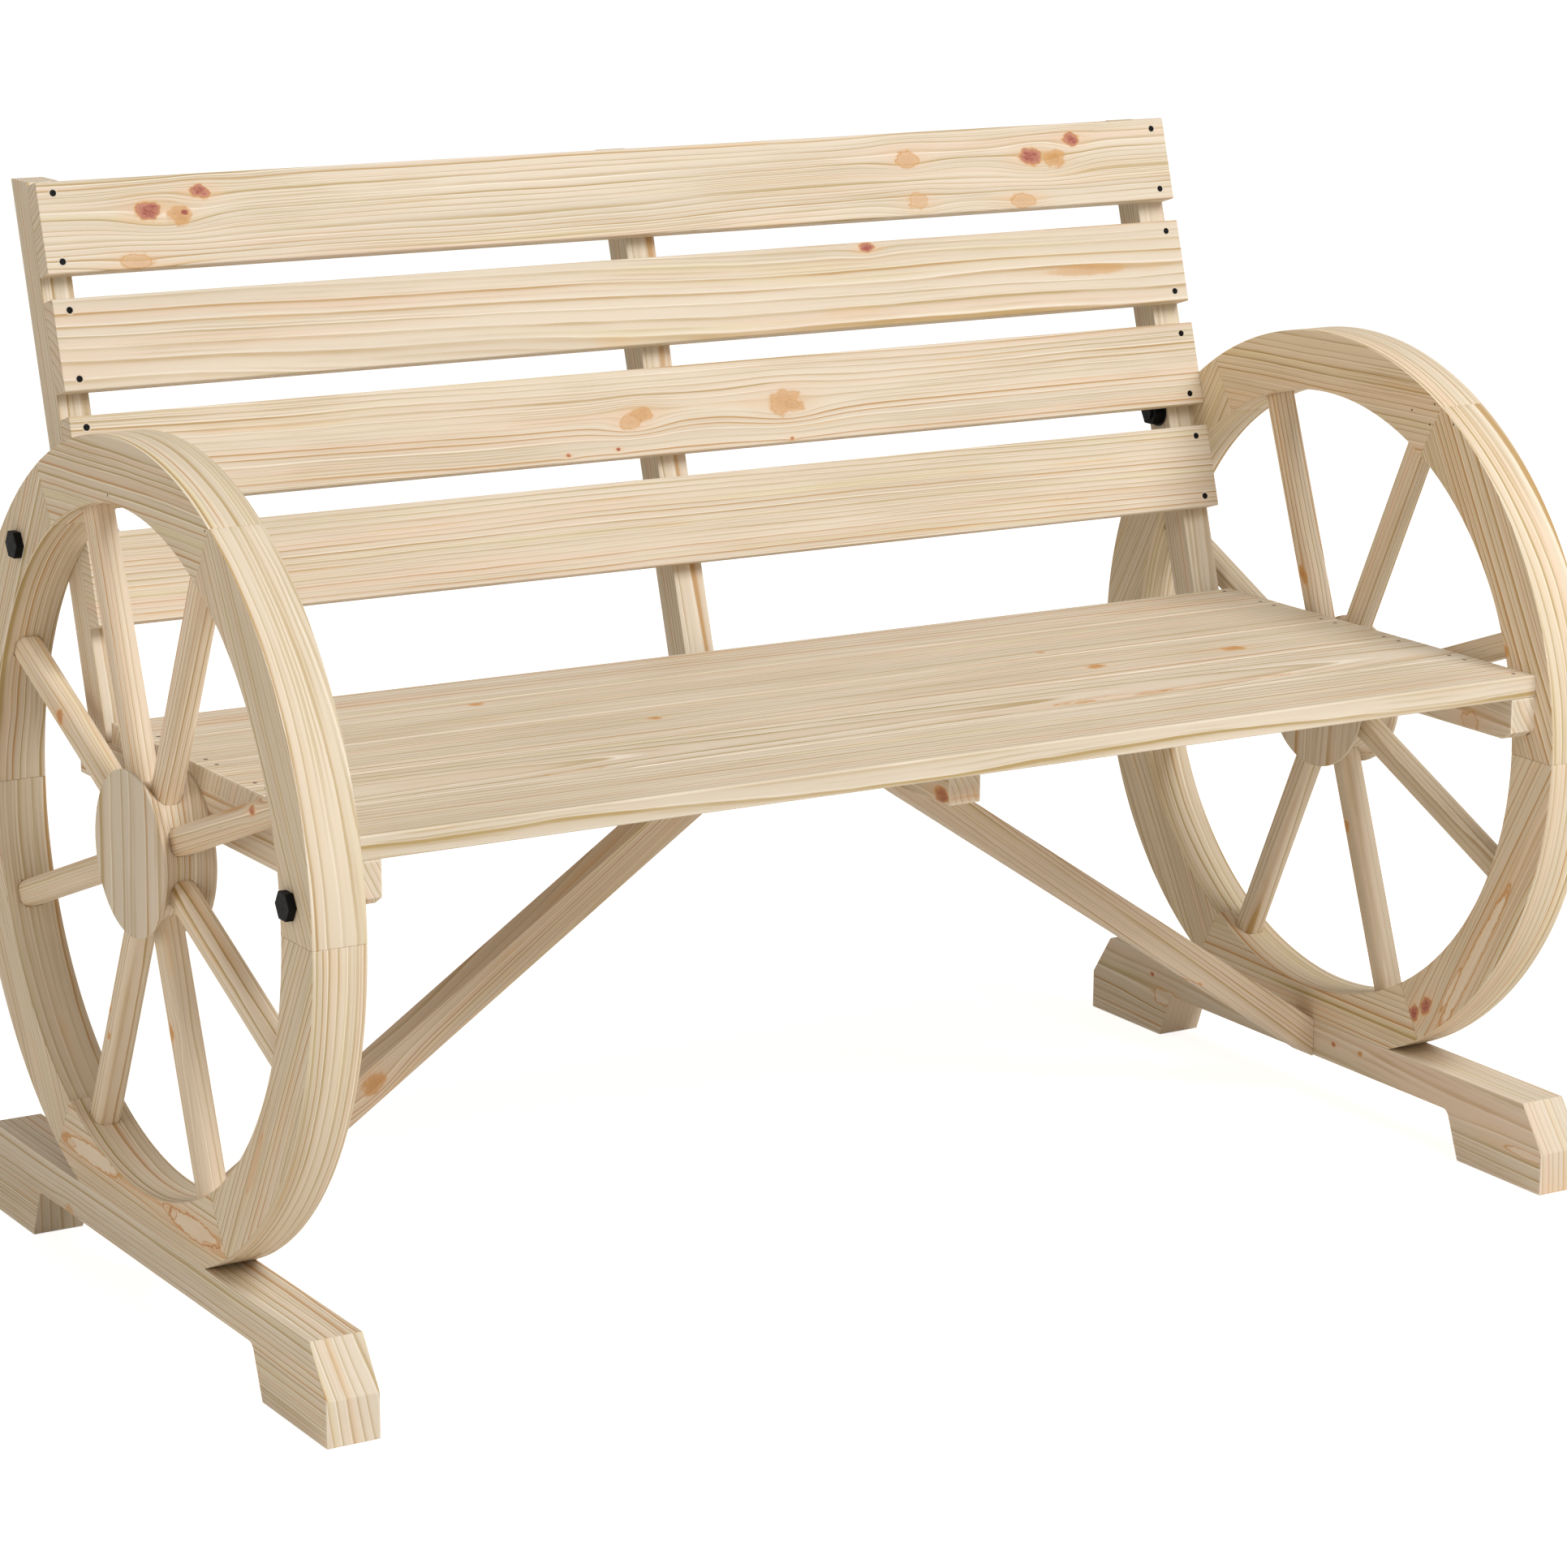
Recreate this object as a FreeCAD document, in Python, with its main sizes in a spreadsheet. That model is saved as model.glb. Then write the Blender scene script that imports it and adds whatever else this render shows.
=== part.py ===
import FreeCAD, Part
import math
import os
import re
import Sketcher

# Garden bench of sawn softwood, carried between two wagon wheels on low feet.
# Lengths are millimetres and angles degrees. The origin lies on the ground under the middle
# of the bench: X runs along the seat, the front faces -Y and Z points up.

SIZES = {
    # Seat, hung between the wheels: above their axle, and in from the rim's front and rear
    "bench_length": 1000,
    "seat_above_axle": 66.2,
    "seat_front_inset": 22.6,
    "seat_rear_inset": 175,
    "plank_thickness": 17,
    "rear_plank_width": 67,
    "plank_gap": 0.4,
    "plank_count": 5,
    "eased_edge": 0.8,
    # Bearers across the underside of the seat
    "bearer_overhang": 60,
    "side_bearer_width": 22.5,
    "side_bearer_height": 32,
    "bearer_nose_length": 10,
    "bearer_nose_height": 6,
    "centre_bearer_width": 26.6,
    "centre_bearer_height": 28,
    "centre_bearer_setback": 29,
    # Backrest, leaning back from upright
    "back_lean": 16.68,
    "upright_gap": 10,
    "upright_depth": 27.5,
    "side_upright_width": 25,
    "centre_upright_width": 26,
    "left_upright_drop": 1.8,
    "centre_upright_drop": 5,
    "right_upright_drop": 5,
    "slat_width": 67.7,
    "slat_thickness": 17,
    "slat_gap": 18.1,
    "slat_clearance": 67.3,
    "slat_count": 4,
    # Wheels: rim of mitred felloes, square spokes with arrises taken off, waisted hub
    "rim_radius": 294.3,
    "rim_sink": 21.6,
    "rim_width": 47.6,
    "rim_thickness": 40,
    "felloe_count": 6,
    "spoke_count": 8,
    "spoke_turn": 25.1,
    "spoke_side": 20,
    "spoke_chamfer": 4.1,
    "spoke_seat": 14,
    "spoke_fit": 0.15,
    "hub_radius": 60,
    "hub_waist": 49,
    "hub_land": 2.5,
    # Feet under the wheels, arched between two pads
    "foot_length": 605,
    "foot_height": 68.3,
    "foot_shoulder": 32.9,
    "foot_slope": 24.5,
    "foot_arch_height": 38,
    "foot_arch_length": 373,
    "foot_arch_flare": 15,
    "foot_arch_round": 7,
    # Braces from the feet up to the centre bearer
    "brace_width": 27.2,
    "brace_cut_height": 31.4,
    # Bolts and coach screws that hold the bench to the wheels. The rear bolts sit a little
    # below and above the crossing of post and rim.
    "hexagon_width": 19,
    "hexagon_height": 6,
    "bolt_shank": 12,
    "bolt_clearance": 0.25,
    "bolt_end": 2,
    "nut_height": 8,
    "washer_radius": 12,
    "washer_thickness": 2,
    "left_bolt_shift": -5.2,
    "right_bolt_shift": 11.6,
    "coach_inset": 9.7,
    "coach_drop": 25.2,
    "coach_bite": 18,
    "coach_core": 8.5,
}

# Places worked out from the sizes above, each from those before it
PLACES = {
    "half_length": "bench_length / 2",
    "wheel_height": "foot_height + rim_radius - rim_sink",
    "wheel_flat": "rim_radius - rim_sink",
    "rim_inner": "rim_radius - rim_width",
    "rim_middle": "rim_radius - rim_width / 2",
    "felloe_angle": "360 / felloe_count",
    "spoke_angle": "360 / spoke_count",
    "spoke_start": "hub_waist - spoke_seat",
    "spoke_end": "rim_inner + spoke_seat",
    "spoke_half": "spoke_side / 2",
    "spoke_flat": "spoke_half - spoke_chamfer",
    "mortise_half": "spoke_half + spoke_fit",
    "mortise_flat": "spoke_flat + spoke_fit * (sqrt(2) - 1)",
    "hub_hollow": "hub_radius - hub_waist",
    "hub_half_hollow": "rim_thickness / 2 - hub_land",
    "hub_curve": "(hub_half_hollow ^ 2 + hub_hollow ^ 2) / (2 * hub_hollow)",
    "seat_height": "wheel_height + seat_above_axle",
    "seat_under": "seat_height - plank_thickness",
    "seat_front": "rim_radius - seat_front_inset",
    "seat_rear": "rim_radius - seat_rear_inset",
    "plank_pitch": "(seat_front + seat_rear - rear_plank_width) / (plank_count - 1)",
    "bearer_rear": "seat_rear + bearer_overhang",
    "lean_slope": "tan(back_lean * 1deg)",
    "lean_cosine": "cos(back_lean * 1deg)",
    "lean_sine": "sin(back_lean * 1deg)",
    "back_foot": "seat_rear + upright_gap - slat_thickness / lean_cosine",
    "upright_back": "slat_thickness + upright_depth",
    "upright_middle": "slat_thickness + upright_depth / 2",
    "slat_pitch": "slat_width + slat_gap",
    "slat_start": "(plank_thickness + slat_clearance) / lean_cosine",
    "slat_top": "slat_start + slat_count * slat_pitch - slat_gap",
    "post_foot_y": "back_foot + upright_middle * lean_cosine",
    "post_foot_z": "seat_above_axle - plank_thickness - upright_middle * lean_sine",
    "post_along": "post_foot_y * lean_sine + post_foot_z * lean_cosine",
    "post_reach": "rim_middle ^ 2 - post_foot_y ^ 2 - post_foot_z ^ 2",
    "rim_crossing": "sqrt(post_along ^ 2 + post_reach) - post_along",
    "left_bolt_rise": "rim_crossing + left_bolt_shift",
    "left_bolt_y": "post_foot_y + left_bolt_rise * lean_sine",
    "left_bolt_z": "post_foot_z + left_bolt_rise * lean_cosine",
    "right_bolt_rise": "rim_crossing + right_bolt_shift",
    "right_bolt_y": "post_foot_y + right_bolt_rise * lean_sine",
    "right_bolt_z": "post_foot_z + right_bolt_rise * lean_cosine",
    "coach_y": "coach_inset - seat_front",
    "coach_z": "seat_above_axle - plank_thickness - coach_drop",
    "bolt_grip": "rim_thickness + side_upright_width",
    "bolt_length": "bolt_grip + washer_thickness + nut_height + bolt_end",
    "brace_start": "centre_bearer_width / 2",
    "brace_bottom": "seat_under - centre_bearer_height",
    "brace_top": "brace_bottom + brace_cut_height",
}

V = FreeCAD.Vector
ALONG_X = V(1, 0, 0)
ALONG_Y = V(0, 1, 0)
ALONG_Z = V(0, 0, 1)
SIDES = {"left": -1, "right": 1}

doc = FreeCAD.newDocument("wagon_wheel_bench")
sub_parts = []


def use(formula):
    """The formula with every named size and place written as a cell of its sheet."""
    def cell(word):
        name = word.group(0)
        if name in SIZES:
            return "sizes." + name
        if name in PLACES:
            return "places." + name
        return name
    return re.sub(r"[a-z]+(_[a-z]+)+", cell, formula)


def fill_sheets():
    """One sheet of driving sizes and one of the places that follow from them."""
    sizes = doc.addObject("Spreadsheet::Sheet", "sizes")
    for row, (name, value) in enumerate(SIZES.items(), 1):
        sizes.set("A%d" % row, name)
        sizes.set("B%d" % row, str(value))
        sizes.setAlias("B%d" % row, name)
    doc.recompute()
    places = doc.addObject("Spreadsheet::Sheet", "places")
    for row, (name, formula) in enumerate(PLACES.items(), 1):
        places.set("A%d" % row, name)
        places.setAlias("B%d" % row, name)
        places.set("B%d" % row, "=" + use(formula).replace("places.", ""))
    doc.recompute()


def at(name):
    """The present value of a named size or place."""
    sheet = doc.sizes if name in SIZES else doc.places
    return float(sheet.get(name))


def new_body(name):
    body = doc.addObject("PartDesign::Body", name)
    body.Label = name
    return body


def place_body(body, x="0", y="0", z="0", turn=None):
    """Set the body at places given by formulas, turned about X if asked."""
    if turn:
        body.Placement = FreeCAD.Placement(V(), FreeCAD.Rotation(ALONG_X, -1))
        body.setExpression(".Placement.Rotation.Angle", use(turn))
    for axis, formula in zip("xyz", (x, y, z)):
        body.setExpression(".Placement.Base." + axis, use(formula))


def origin_feature(body, role):
    for feature in body.Origin.OriginFeatures:
        if feature.Role == role:
            return feature


def new_sketch(body, name, role):
    sketch = body.newObject("Sketcher::SketchObject", body.Name + "_" + name)
    sketch.AttachmentSupport = [(origin_feature(body, role), "")]
    sketch.MapMode = "FlatFace"
    return sketch


def turn_sketch(sketch, angle):
    """Turn a sketch within its own plane."""
    sketch.AttachmentOffset = FreeCAD.Placement(V(), FreeCAD.Rotation(ALONG_Z, 1))
    sketch.setExpression(".AttachmentOffset.Rotation.Angle", use(angle))


def move_sketch(sketch, distance):
    """Move a sketch along its own normal."""
    sketch.AttachmentOffset = FreeCAD.Placement(ALONG_Z, FreeCAD.Rotation())
    sketch.setExpression(".AttachmentOffset.Base.z", use(distance))


def hold_point(sketch, edge, end, across, up):
    """Keep a point of the sketch at the given formulas from its origin."""
    start = sketch.getPoint(edge, end)
    for kind, formula, axis, now in (("DistanceX", across, -2, start.x),
                                     ("DistanceY", up, -1, start.y)):
        if formula == "0":
            sketch.addConstraint(Sketcher.Constraint("PointOnObject", edge, end, axis))
        else:
            index = sketch.addConstraint(Sketcher.Constraint(kind, -1, 1, edge, end, now))
            sketch.setExpression("Constraints[%d]" % index, use(formula))


def hold_radius(sketch, edge, formula):
    now = sketch.Geometry[edge].Radius
    index = sketch.addConstraint(Sketcher.Constraint("Radius", edge, now))
    sketch.setExpression("Constraints[%d]" % index, use(formula))


def outline(sketch, corners):
    """A closed outline of straight lines whose corners are given as formulas."""
    count = len(corners)
    ring = []
    for index in range(count):
        turn = 2 * math.pi * index / count
        ring.append(V(math.cos(turn), math.sin(turn), 0))
    for index in range(count):
        sketch.addGeometry(Part.LineSegment(ring[index], ring[(index + 1) % count]))
    for index in range(count):
        joint = Sketcher.Constraint("Coincident", index, 2, (index + 1) % count, 1)
        sketch.addConstraint(joint)
    for index, (across, up) in enumerate(corners):
        hold_point(sketch, index, 1, across, up)


def circle(sketch, across, up, radius):
    index = sketch.addGeometry(Part.Circle(V(1, 1, 0), ALONG_Z, 1))
    hold_point(sketch, index, 3, across, up)
    hold_radius(sketch, index, radius)


def pad(body, sketch, length, both_ways=False):
    feature = body.newObject("PartDesign::Pad", sketch.Name + "_pad")
    feature.Profile = sketch
    if both_ways:
        feature.SideType = "Symmetric"
    feature.setExpression("Length", use(length))
    sketch.Visibility = False
    return feature


def pocket(body, sketch, depth=None):
    """Cut to a depth against the sketch's normal, or right through both ways."""
    feature = body.newObject("PartDesign::Pocket", sketch.Name + "_pocket")
    feature.Profile = sketch
    if depth:
        feature.setExpression("Length", use(depth))
    else:
        feature.Type = "ThroughAll"
        feature.SideType = "Symmetric"
    return feature


def straight_edges(feature, direction):
    """Names of the feature's straight edges that run along a direction."""
    names = []
    for number, edge in enumerate(feature.Shape.Edges, 1):
        if edge.Curve.TypeId != "Part::GeomLine":
            continue
        run = edge.Curve.Direction
        if abs(abs(run.dot(direction)) - 1) < Part.Precision.confusion():
            names.append("Edge%d" % number)
    return names


def revolve(body, sketch, axis):
    feature = body.newObject("PartDesign::Revolution", sketch.Name + "_turned")
    feature.Profile = sketch
    feature.ReferenceAxis = (origin_feature(body, axis), [""])
    return feature


def ease(body, feature, direction):
    """Chamfer the arrises that run along a direction."""
    doc.recompute()
    chamfer = body.newObject("PartDesign::Chamfer", body.Name + "_eased_arrises")
    chamfer.Base = (feature, straight_edges(feature, direction))
    chamfer.setExpression("Size", use("eased_edge"))
    return chamfer


def keep(node):
    """Add a finished piece to those that are written."""
    sub_parts.append(node)
    return node


def group(name, pattern, places):
    """Identical pieces: one pattern piece set at each place, as separate solids."""
    node = doc.addObject("Part::Feature", name)
    copies = []
    for place in places:
        copy = pattern.Shape.copy()
        copy.Placement = place
        copies.append(copy)
    node.Shape = Part.makeCompound(copies)
    return keep(node)


def hexagon_heading(x, y, z, direction):
    """A place whose own Z points along a direction, with own X towards the rear."""
    turn = FreeCAD.Rotation(ALONG_Y, V(), direction, "ZXY")
    return FreeCAD.Placement(V(x, y, z), turn)


# Bolts, coach screws, nuts and washers, each pointing up from the face that it bears on

def hexagon_corners():
    """A hexagon of the named width across flats, with a corner on the first axis."""
    reach = "hexagon_width / 3 * sqrt(3)"
    half = "hexagon_width / 2"
    lean = "hexagon_width / 6 * sqrt(3)"
    return [(reach, "0"), (lean, half), ("-" + lean, half),
            ("-" + reach, "0"), ("-" + lean, "-" + half), (lean, "-" + half)]


def hexagon_bolt(name, grip, core_length=None):
    """Hexagon head above the face, round shank below it, with a thinner biting end if asked."""
    body = new_body(name)
    head = new_sketch(body, "head", "XY_Plane")
    outline(head, hexagon_corners())
    pad(body, head, "hexagon_height")
    shank = new_sketch(body, "shank", "XZ_Plane")
    corners = [("0", "0"), ("bolt_shank / 2", "0"), ("bolt_shank / 2", "-" + grip)]
    if core_length:
        end = "-%s - %s" % (grip, core_length)
        corners += [("coach_core / 2", "-" + grip), ("coach_core / 2", end), ("0", end)]
    else:
        corners += [("0", "-" + grip)]
    outline(shank, corners)
    revolve(body, shank, "Z_Axis")
    return body


def hexagon_nut():
    body = new_body("nut_pattern")
    section = new_sketch(body, "section", "XY_Plane")
    outline(section, hexagon_corners())
    circle(section, "0", "0", "bolt_shank / 2")
    pad(body, section, "nut_height")
    return body


def washer():
    body = new_body("washer_pattern")
    section = new_sketch(body, "section", "XY_Plane")
    circle(section, "0", "0", "washer_radius")
    circle(section, "0", "0", "bolt_shank / 2 + bolt_clearance")
    pad(body, section, "washer_thickness")
    return body


# Wheels, drawn about their own centre with X from the inner towards the outer face or back

def wheel_start(side):
    """Formula for the X of a wheel's face on its low side."""
    return "half_length" if side == "right" else "-half_length - rim_thickness"


def place_on_wheel(body, side):
    place_body(body, x=wheel_start(side), z="wheel_height")


def spoke_direction(index):
    return "(spoke_turn + spoke_angle * %d)" % index


def let_in_sketch(body, name, index, radius):
    """Sketch square to a spoke at a radius from the axle, in the wheel's middle plane."""
    sketch = new_sketch(body, name, "XY_Plane")
    angle = spoke_direction(index)
    tilted = FreeCAD.Rotation(ALONG_X, 1)
    sketch.AttachmentOffset = FreeCAD.Placement(V(), tilted)
    sketch.setExpression(".AttachmentOffset.Base.x", use("rim_thickness / 2"))
    sketch.setExpression(".AttachmentOffset.Base.y", use("%s * cos(%s * 1deg)" % (radius, angle)))
    sketch.setExpression(".AttachmentOffset.Base.z", use("%s * sin(%s * 1deg)" % (radius, angle)))
    sketch.setExpression(".AttachmentOffset.Rotation.Angle", use(angle + " - 90"))
    return sketch


def chamfered_square(sketch, half, flat):
    """A square of the given half width whose flats reach as far as given from their middle."""
    outline(sketch, [(half, "-" + flat), (half, flat), (flat, half), ("-" + flat, half),
                     ("-" + half, flat), ("-" + half, "-" + flat), ("-" + flat, "-" + half),
                     (flat, "-" + half)])


def mortise(body, index, radius, depth):
    """Blind hole for a spoke end, cut from a radius towards the axle."""
    sketch = let_in_sketch(body, "mortise_%d" % (index + 1), index, radius)
    chamfered_square(sketch, "mortise_half", "mortise_flat")
    return pocket(body, sketch, depth)


def spoke(side, index):
    """Square bar with its arrises taken off, its ends let into the hub and the rim."""
    body = new_body("%s_spoke_%d" % (side, index + 1))
    sketch = let_in_sketch(body, "section", index, "(spoke_start + spoke_fit)")
    chamfered_square(sketch, "spoke_half", "spoke_flat")
    pad(body, sketch, "spoke_end - spoke_start - 2 * spoke_fit")
    place_on_wheel(body, side)
    return keep(body)


def hub():
    """Turned spool, flat on both faces, its hollowed waist pierced by the spokes."""
    body = new_body("hub_pattern")
    profile = new_sketch(body, "profile", "XY_Plane")
    thickness = at("rim_thickness")
    land = at("hub_land")
    radius = at("hub_radius")
    corners = [V(0, 0, 0), V(0, radius, 0), V(land, radius, 0),
               V(thickness - land, radius, 0), V(thickness, radius, 0), V(thickness, 0, 0)]
    middle = V(thickness / 2, at("hub_waist"), 0)
    profile.addGeometry(Part.LineSegment(corners[0], corners[1]))
    profile.addGeometry(Part.LineSegment(corners[1], corners[2]))
    profile.addGeometry(Part.Arc(corners[2], middle, corners[3]))
    profile.addGeometry(Part.LineSegment(corners[3], corners[4]))
    profile.addGeometry(Part.LineSegment(corners[4], corners[5]))
    profile.addGeometry(Part.LineSegment(corners[5], corners[0]))
    # The hollow's arc is drawn anticlockwise, so its first point lies on the near land
    ends = [(0, 2, 1, 1), (1, 2, 2, 1), (2, 2, 3, 1), (3, 2, 4, 1), (4, 2, 5, 1), (5, 2, 0, 1)]
    for joint in ends:
        profile.addConstraint(Sketcher.Constraint("Coincident", *joint))
    hold_point(profile, 0, 1, "0", "0")
    hold_point(profile, 1, 1, "0", "hub_radius")
    hold_point(profile, 2, 1, "hub_land", "hub_radius")
    hold_point(profile, 3, 1, "rim_thickness - hub_land", "hub_radius")
    hold_point(profile, 4, 1, "rim_thickness", "hub_radius")
    hold_point(profile, 5, 1, "rim_thickness", "0")
    hold_radius(profile, 2, "hub_curve")
    revolve(body, profile, "X_Axis")
    first = mortise(body, 0, "hub_radius", "hub_radius - spoke_start")
    ring = body.newObject("PartDesign::PolarPattern", "hub_mortises")
    ring.Originals = [first]
    ring.Axis = (origin_feature(body, "X_Axis"), [""])
    ring.Angle = 360
    ring.setExpression("Occurrences", use("spoke_count"))
    body.Tip = ring
    return body


def felloe_outline(sketch):
    """Sector of the rim between two mitres, even about the sketch's first axis."""
    outer = at("rim_radius")
    inner = at("rim_inner")
    half = math.radians(at("felloe_angle") / 2)
    sketch.addGeometry(Part.ArcOfCircle(Part.Circle(V(), ALONG_Z, outer), -half, half))
    sketch.addGeometry(Part.ArcOfCircle(Part.Circle(V(), ALONG_Z, inner), -half, half))
    ends = sketch.Geometry
    sketch.addGeometry(Part.LineSegment(ends[1].StartPoint, ends[0].StartPoint))
    sketch.addGeometry(Part.LineSegment(ends[0].EndPoint, ends[1].EndPoint))
    for joint in ((2, 1, 1, 1), (2, 2, 0, 1), (3, 1, 0, 2), (3, 2, 1, 2)):
        sketch.addConstraint(Sketcher.Constraint("Coincident", *joint))
    for arc, radius in ((0, "rim_radius"), (1, "rim_inner")):
        sketch.addConstraint(Sketcher.Constraint("Coincident", arc, 3, -1, 1))
        hold_radius(sketch, arc, radius)
        rise = "%s * sin(felloe_angle / 2 * 1deg)" % radius
        for end, sign in ((1, "-"), (2, "")):
            now = sketch.getPoint(arc, end).y
            held = Sketcher.Constraint("DistanceY", -1, 1, arc, end, now)
            index = sketch.addConstraint(held)
            sketch.setExpression("Constraints[%d]" % index, use(sign + rise))


def inside_felloe(index, angle):
    """True where a direction from the axle falls between the felloe's mitres."""
    return int(angle % 360 // at("felloe_angle")) == index


def bolt_places(side):
    """Bolts through the rim, as formulas for their place about the axle."""
    return [(side + "_bolt_y", side + "_bolt_z"), ("coach_y", "coach_z")]


def felloe_reaches_foot(index):
    """True where part of the felloe's outer curve lies below the foot's top."""
    start = at("felloe_angle") * index
    lowest = 0
    for share in (0, 0.5, 1):
        turn = math.radians(start + at("felloe_angle") * share)
        lowest = min(lowest, at("rim_radius") * math.sin(turn))
    return lowest < -at("wheel_flat")


def felloe(side, index):
    """One sawn segment of the rim, with its mortises, bolt holes and seat on the foot."""
    body = new_body("%s_felloe_%d" % (side, index + 1))
    sector = new_sketch(body, "sector", "YZ_Plane")
    turn_sketch(sector, "felloe_angle * %s" % (index + 0.5))
    felloe_outline(sector)
    pad(body, sector, "rim_thickness")
    for number in range(int(at("spoke_count"))):
        if inside_felloe(index, at("spoke_turn") + at("spoke_angle") * number):
            mortise(body, number, "spoke_end", "2 * spoke_seat")
    for y, z in bolt_places(side):
        if inside_felloe(index, math.degrees(math.atan2(at(z), at(y)))):
            hole = new_sketch(body, "bolt_hole", "YZ_Plane")
            circle(hole, y, z, "bolt_shank / 2 + bolt_clearance")
            pocket(body, hole)
    if felloe_reaches_foot(index):
        seat = new_sketch(body, "foot_seat", "YZ_Plane")
        outline(seat, [("-rim_radius", "-rim_radius"), ("rim_radius", "-rim_radius"),
                       ("rim_radius", "-wheel_flat"), ("-rim_radius", "-wheel_flat")])
        pocket(body, seat)
    place_on_wheel(body, side)
    return keep(body)


def foot(side):
    """Beam with sloped ends, arched between the two pads that it stands on."""
    body = new_body(side + "_foot")
    profile = new_sketch(body, "profile", "YZ_Plane")
    arch = "foot_arch_length / 2"
    flare = arch + " + foot_arch_flare"
    end = "foot_length / 2"
    slope = end + " - foot_slope"
    half = [(flare, "0"), (end, "0"), (end, "foot_shoulder"), (slope, "foot_height")]
    other_half = [("-(%s)" % across, up) for across, up in reversed(half)]
    arch_top = [("-" + arch, "foot_arch_height"), (arch, "foot_arch_height")]
    outline(profile, half + other_half + arch_top)
    beam = pad(body, profile, "rim_thickness")
    doc.recompute()
    corners = []
    for name in straight_edges(beam, ALONG_X):
        height = beam.Shape.getElement(name).CenterOfMass.z
        if abs(height - at("foot_arch_height")) < Part.Precision.confusion():
            corners.append(name)
    rounding = body.newObject("PartDesign::Fillet", side + "_foot_arch_corners")
    rounding.Base = (beam, corners)
    rounding.setExpression("Radius", use("foot_arch_round"))
    place_body(body, x=wheel_start(side))
    return keep(body)


# Seat

def seat_plank(index):
    """Plank of the seat, counted from the front, the last one sawn narrower."""
    body = new_body("seat_plank_%d" % (index + 1))
    last = index == int(at("plank_count")) - 1
    width = "rear_plank_width" if last else "(plank_pitch - plank_gap)"
    section = new_sketch(body, "section", "YZ_Plane")
    outline(section, [("0", "0"), (width, "0"), (width, "plank_thickness"),
                      ("0", "plank_thickness")])
    board = pad(body, section, "bench_length", both_ways=True)
    ease(body, board, ALONG_X)
    place_body(body, y="plank_pitch * %d - seat_front" % index, z="seat_under")
    return keep(body)


def seat_bearer(name, x, width, height, front, pilot=None):
    """Batten under the seat from front to rear. One that takes a coach screw has its lower
    front arris cut off, and a pilot hole that starts at the given X."""
    body = new_body(name)
    profile = new_sketch(body, "profile", "YZ_Plane")
    corners = [("bearer_rear", "0"), ("bearer_rear", "-" + height)]
    if pilot:
        corners += [(front + " + bearer_nose_length", "-" + height),
                    (front, "bearer_nose_height - " + height)]
    else:
        corners += [(front, "-" + height)]
    corners += [(front, "0")]
    outline(profile, corners)
    pad(body, profile, width, both_ways=True)
    if pilot:
        hole = new_sketch(body, "pilot_hole", "YZ_Plane")
        move_sketch(hole, pilot)
        circle(hole, "coach_y", "-coach_drop", "coach_core / 2")
        pocket(body, hole, "coach_bite")
    place_body(body, x=x, z="seat_under")
    return keep(body)


# Backrest, drawn in a frame that leans back: Y from the slats' front, Z up the slope

def place_on_back(body, x="0"):
    place_body(body, x=x, y="back_foot", z="seat_under", turn="-back_lean")


def back_upright(name, x, width, drop, bolt_rise=None):
    """Sloping post behind the slats, cut level at its foot on the bearer and at its top,
    a drop below the slats' upper edge. A bolt goes through it at a rise up the slope."""
    body = new_body(name)
    top = "slat_top - %s / lean_cosine + " % drop
    profile = new_sketch(body, "profile", "YZ_Plane")
    outline(profile, [
        ("slat_thickness", "slat_thickness * lean_slope"),
        ("upright_back", "upright_back * lean_slope"),
        ("upright_back", top + "upright_back * lean_slope"),
        ("slat_thickness", top + "slat_thickness * lean_slope"),
    ])
    pad(body, profile, width, both_ways=True)
    if bolt_rise:
        hole = new_sketch(body, "bolt_hole", "YZ_Plane")
        circle(hole, "upright_middle", bolt_rise, "bolt_shank / 2 + bolt_clearance")
        pocket(body, hole)
    place_on_back(body, x)
    return keep(body)


def back_slat(index):
    """Slat across the uprights, counted from the lowest."""
    body = new_body("back_slat_%d" % (index + 1))
    section = new_sketch(body, "section", "YZ_Plane")
    low = "(slat_start + slat_pitch * %d)" % index
    high = low + " + slat_width"
    outline(section, [("0", low), ("slat_thickness", low), ("slat_thickness", high),
                      ("0", high)])
    board = pad(body, section, "bench_length", both_ways=True)
    ease(body, board, ALONG_X)
    place_on_back(body)
    return keep(body)


# Braces

def brace(side):
    """Sloping strut between a foot and the centre bearer, cut plumb at both ends and
    level where it meets the seat."""
    body = new_body("brace_" + side)
    sign = "-" if side == "left" else ""
    profile = new_sketch(body, "profile", "XZ_Plane")
    outline(profile, [
        (sign + "brace_start", "brace_bottom"),
        (sign + "half_length", "foot_height - brace_cut_height"),
        (sign + "half_length", "foot_height"),
        (sign + "brace_start", "brace_top"),
    ])
    pad(body, profile, "brace_width", both_ways=True)
    seat_cut = new_sketch(body, "seat_cut", "XZ_Plane")
    outline(seat_cut, [
        ("0", "seat_under"),
        (sign + "half_length", "seat_under"),
        (sign + "half_length", "seat_under + brace_cut_height"),
        ("0", "seat_under + brace_cut_height"),
    ])
    pocket(body, seat_cut)
    return keep(body)


# Assembly

def both_sides(x, places, outward=True):
    """A place at each side, given its Y and Z there, heading out of the bench or into it."""
    turn = 1 if outward else -1
    return [hexagon_heading(sign * x, y, z, ALONG_X * sign * turn)
            for sign, (y, z) in zip(SIDES.values(), places)]


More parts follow.
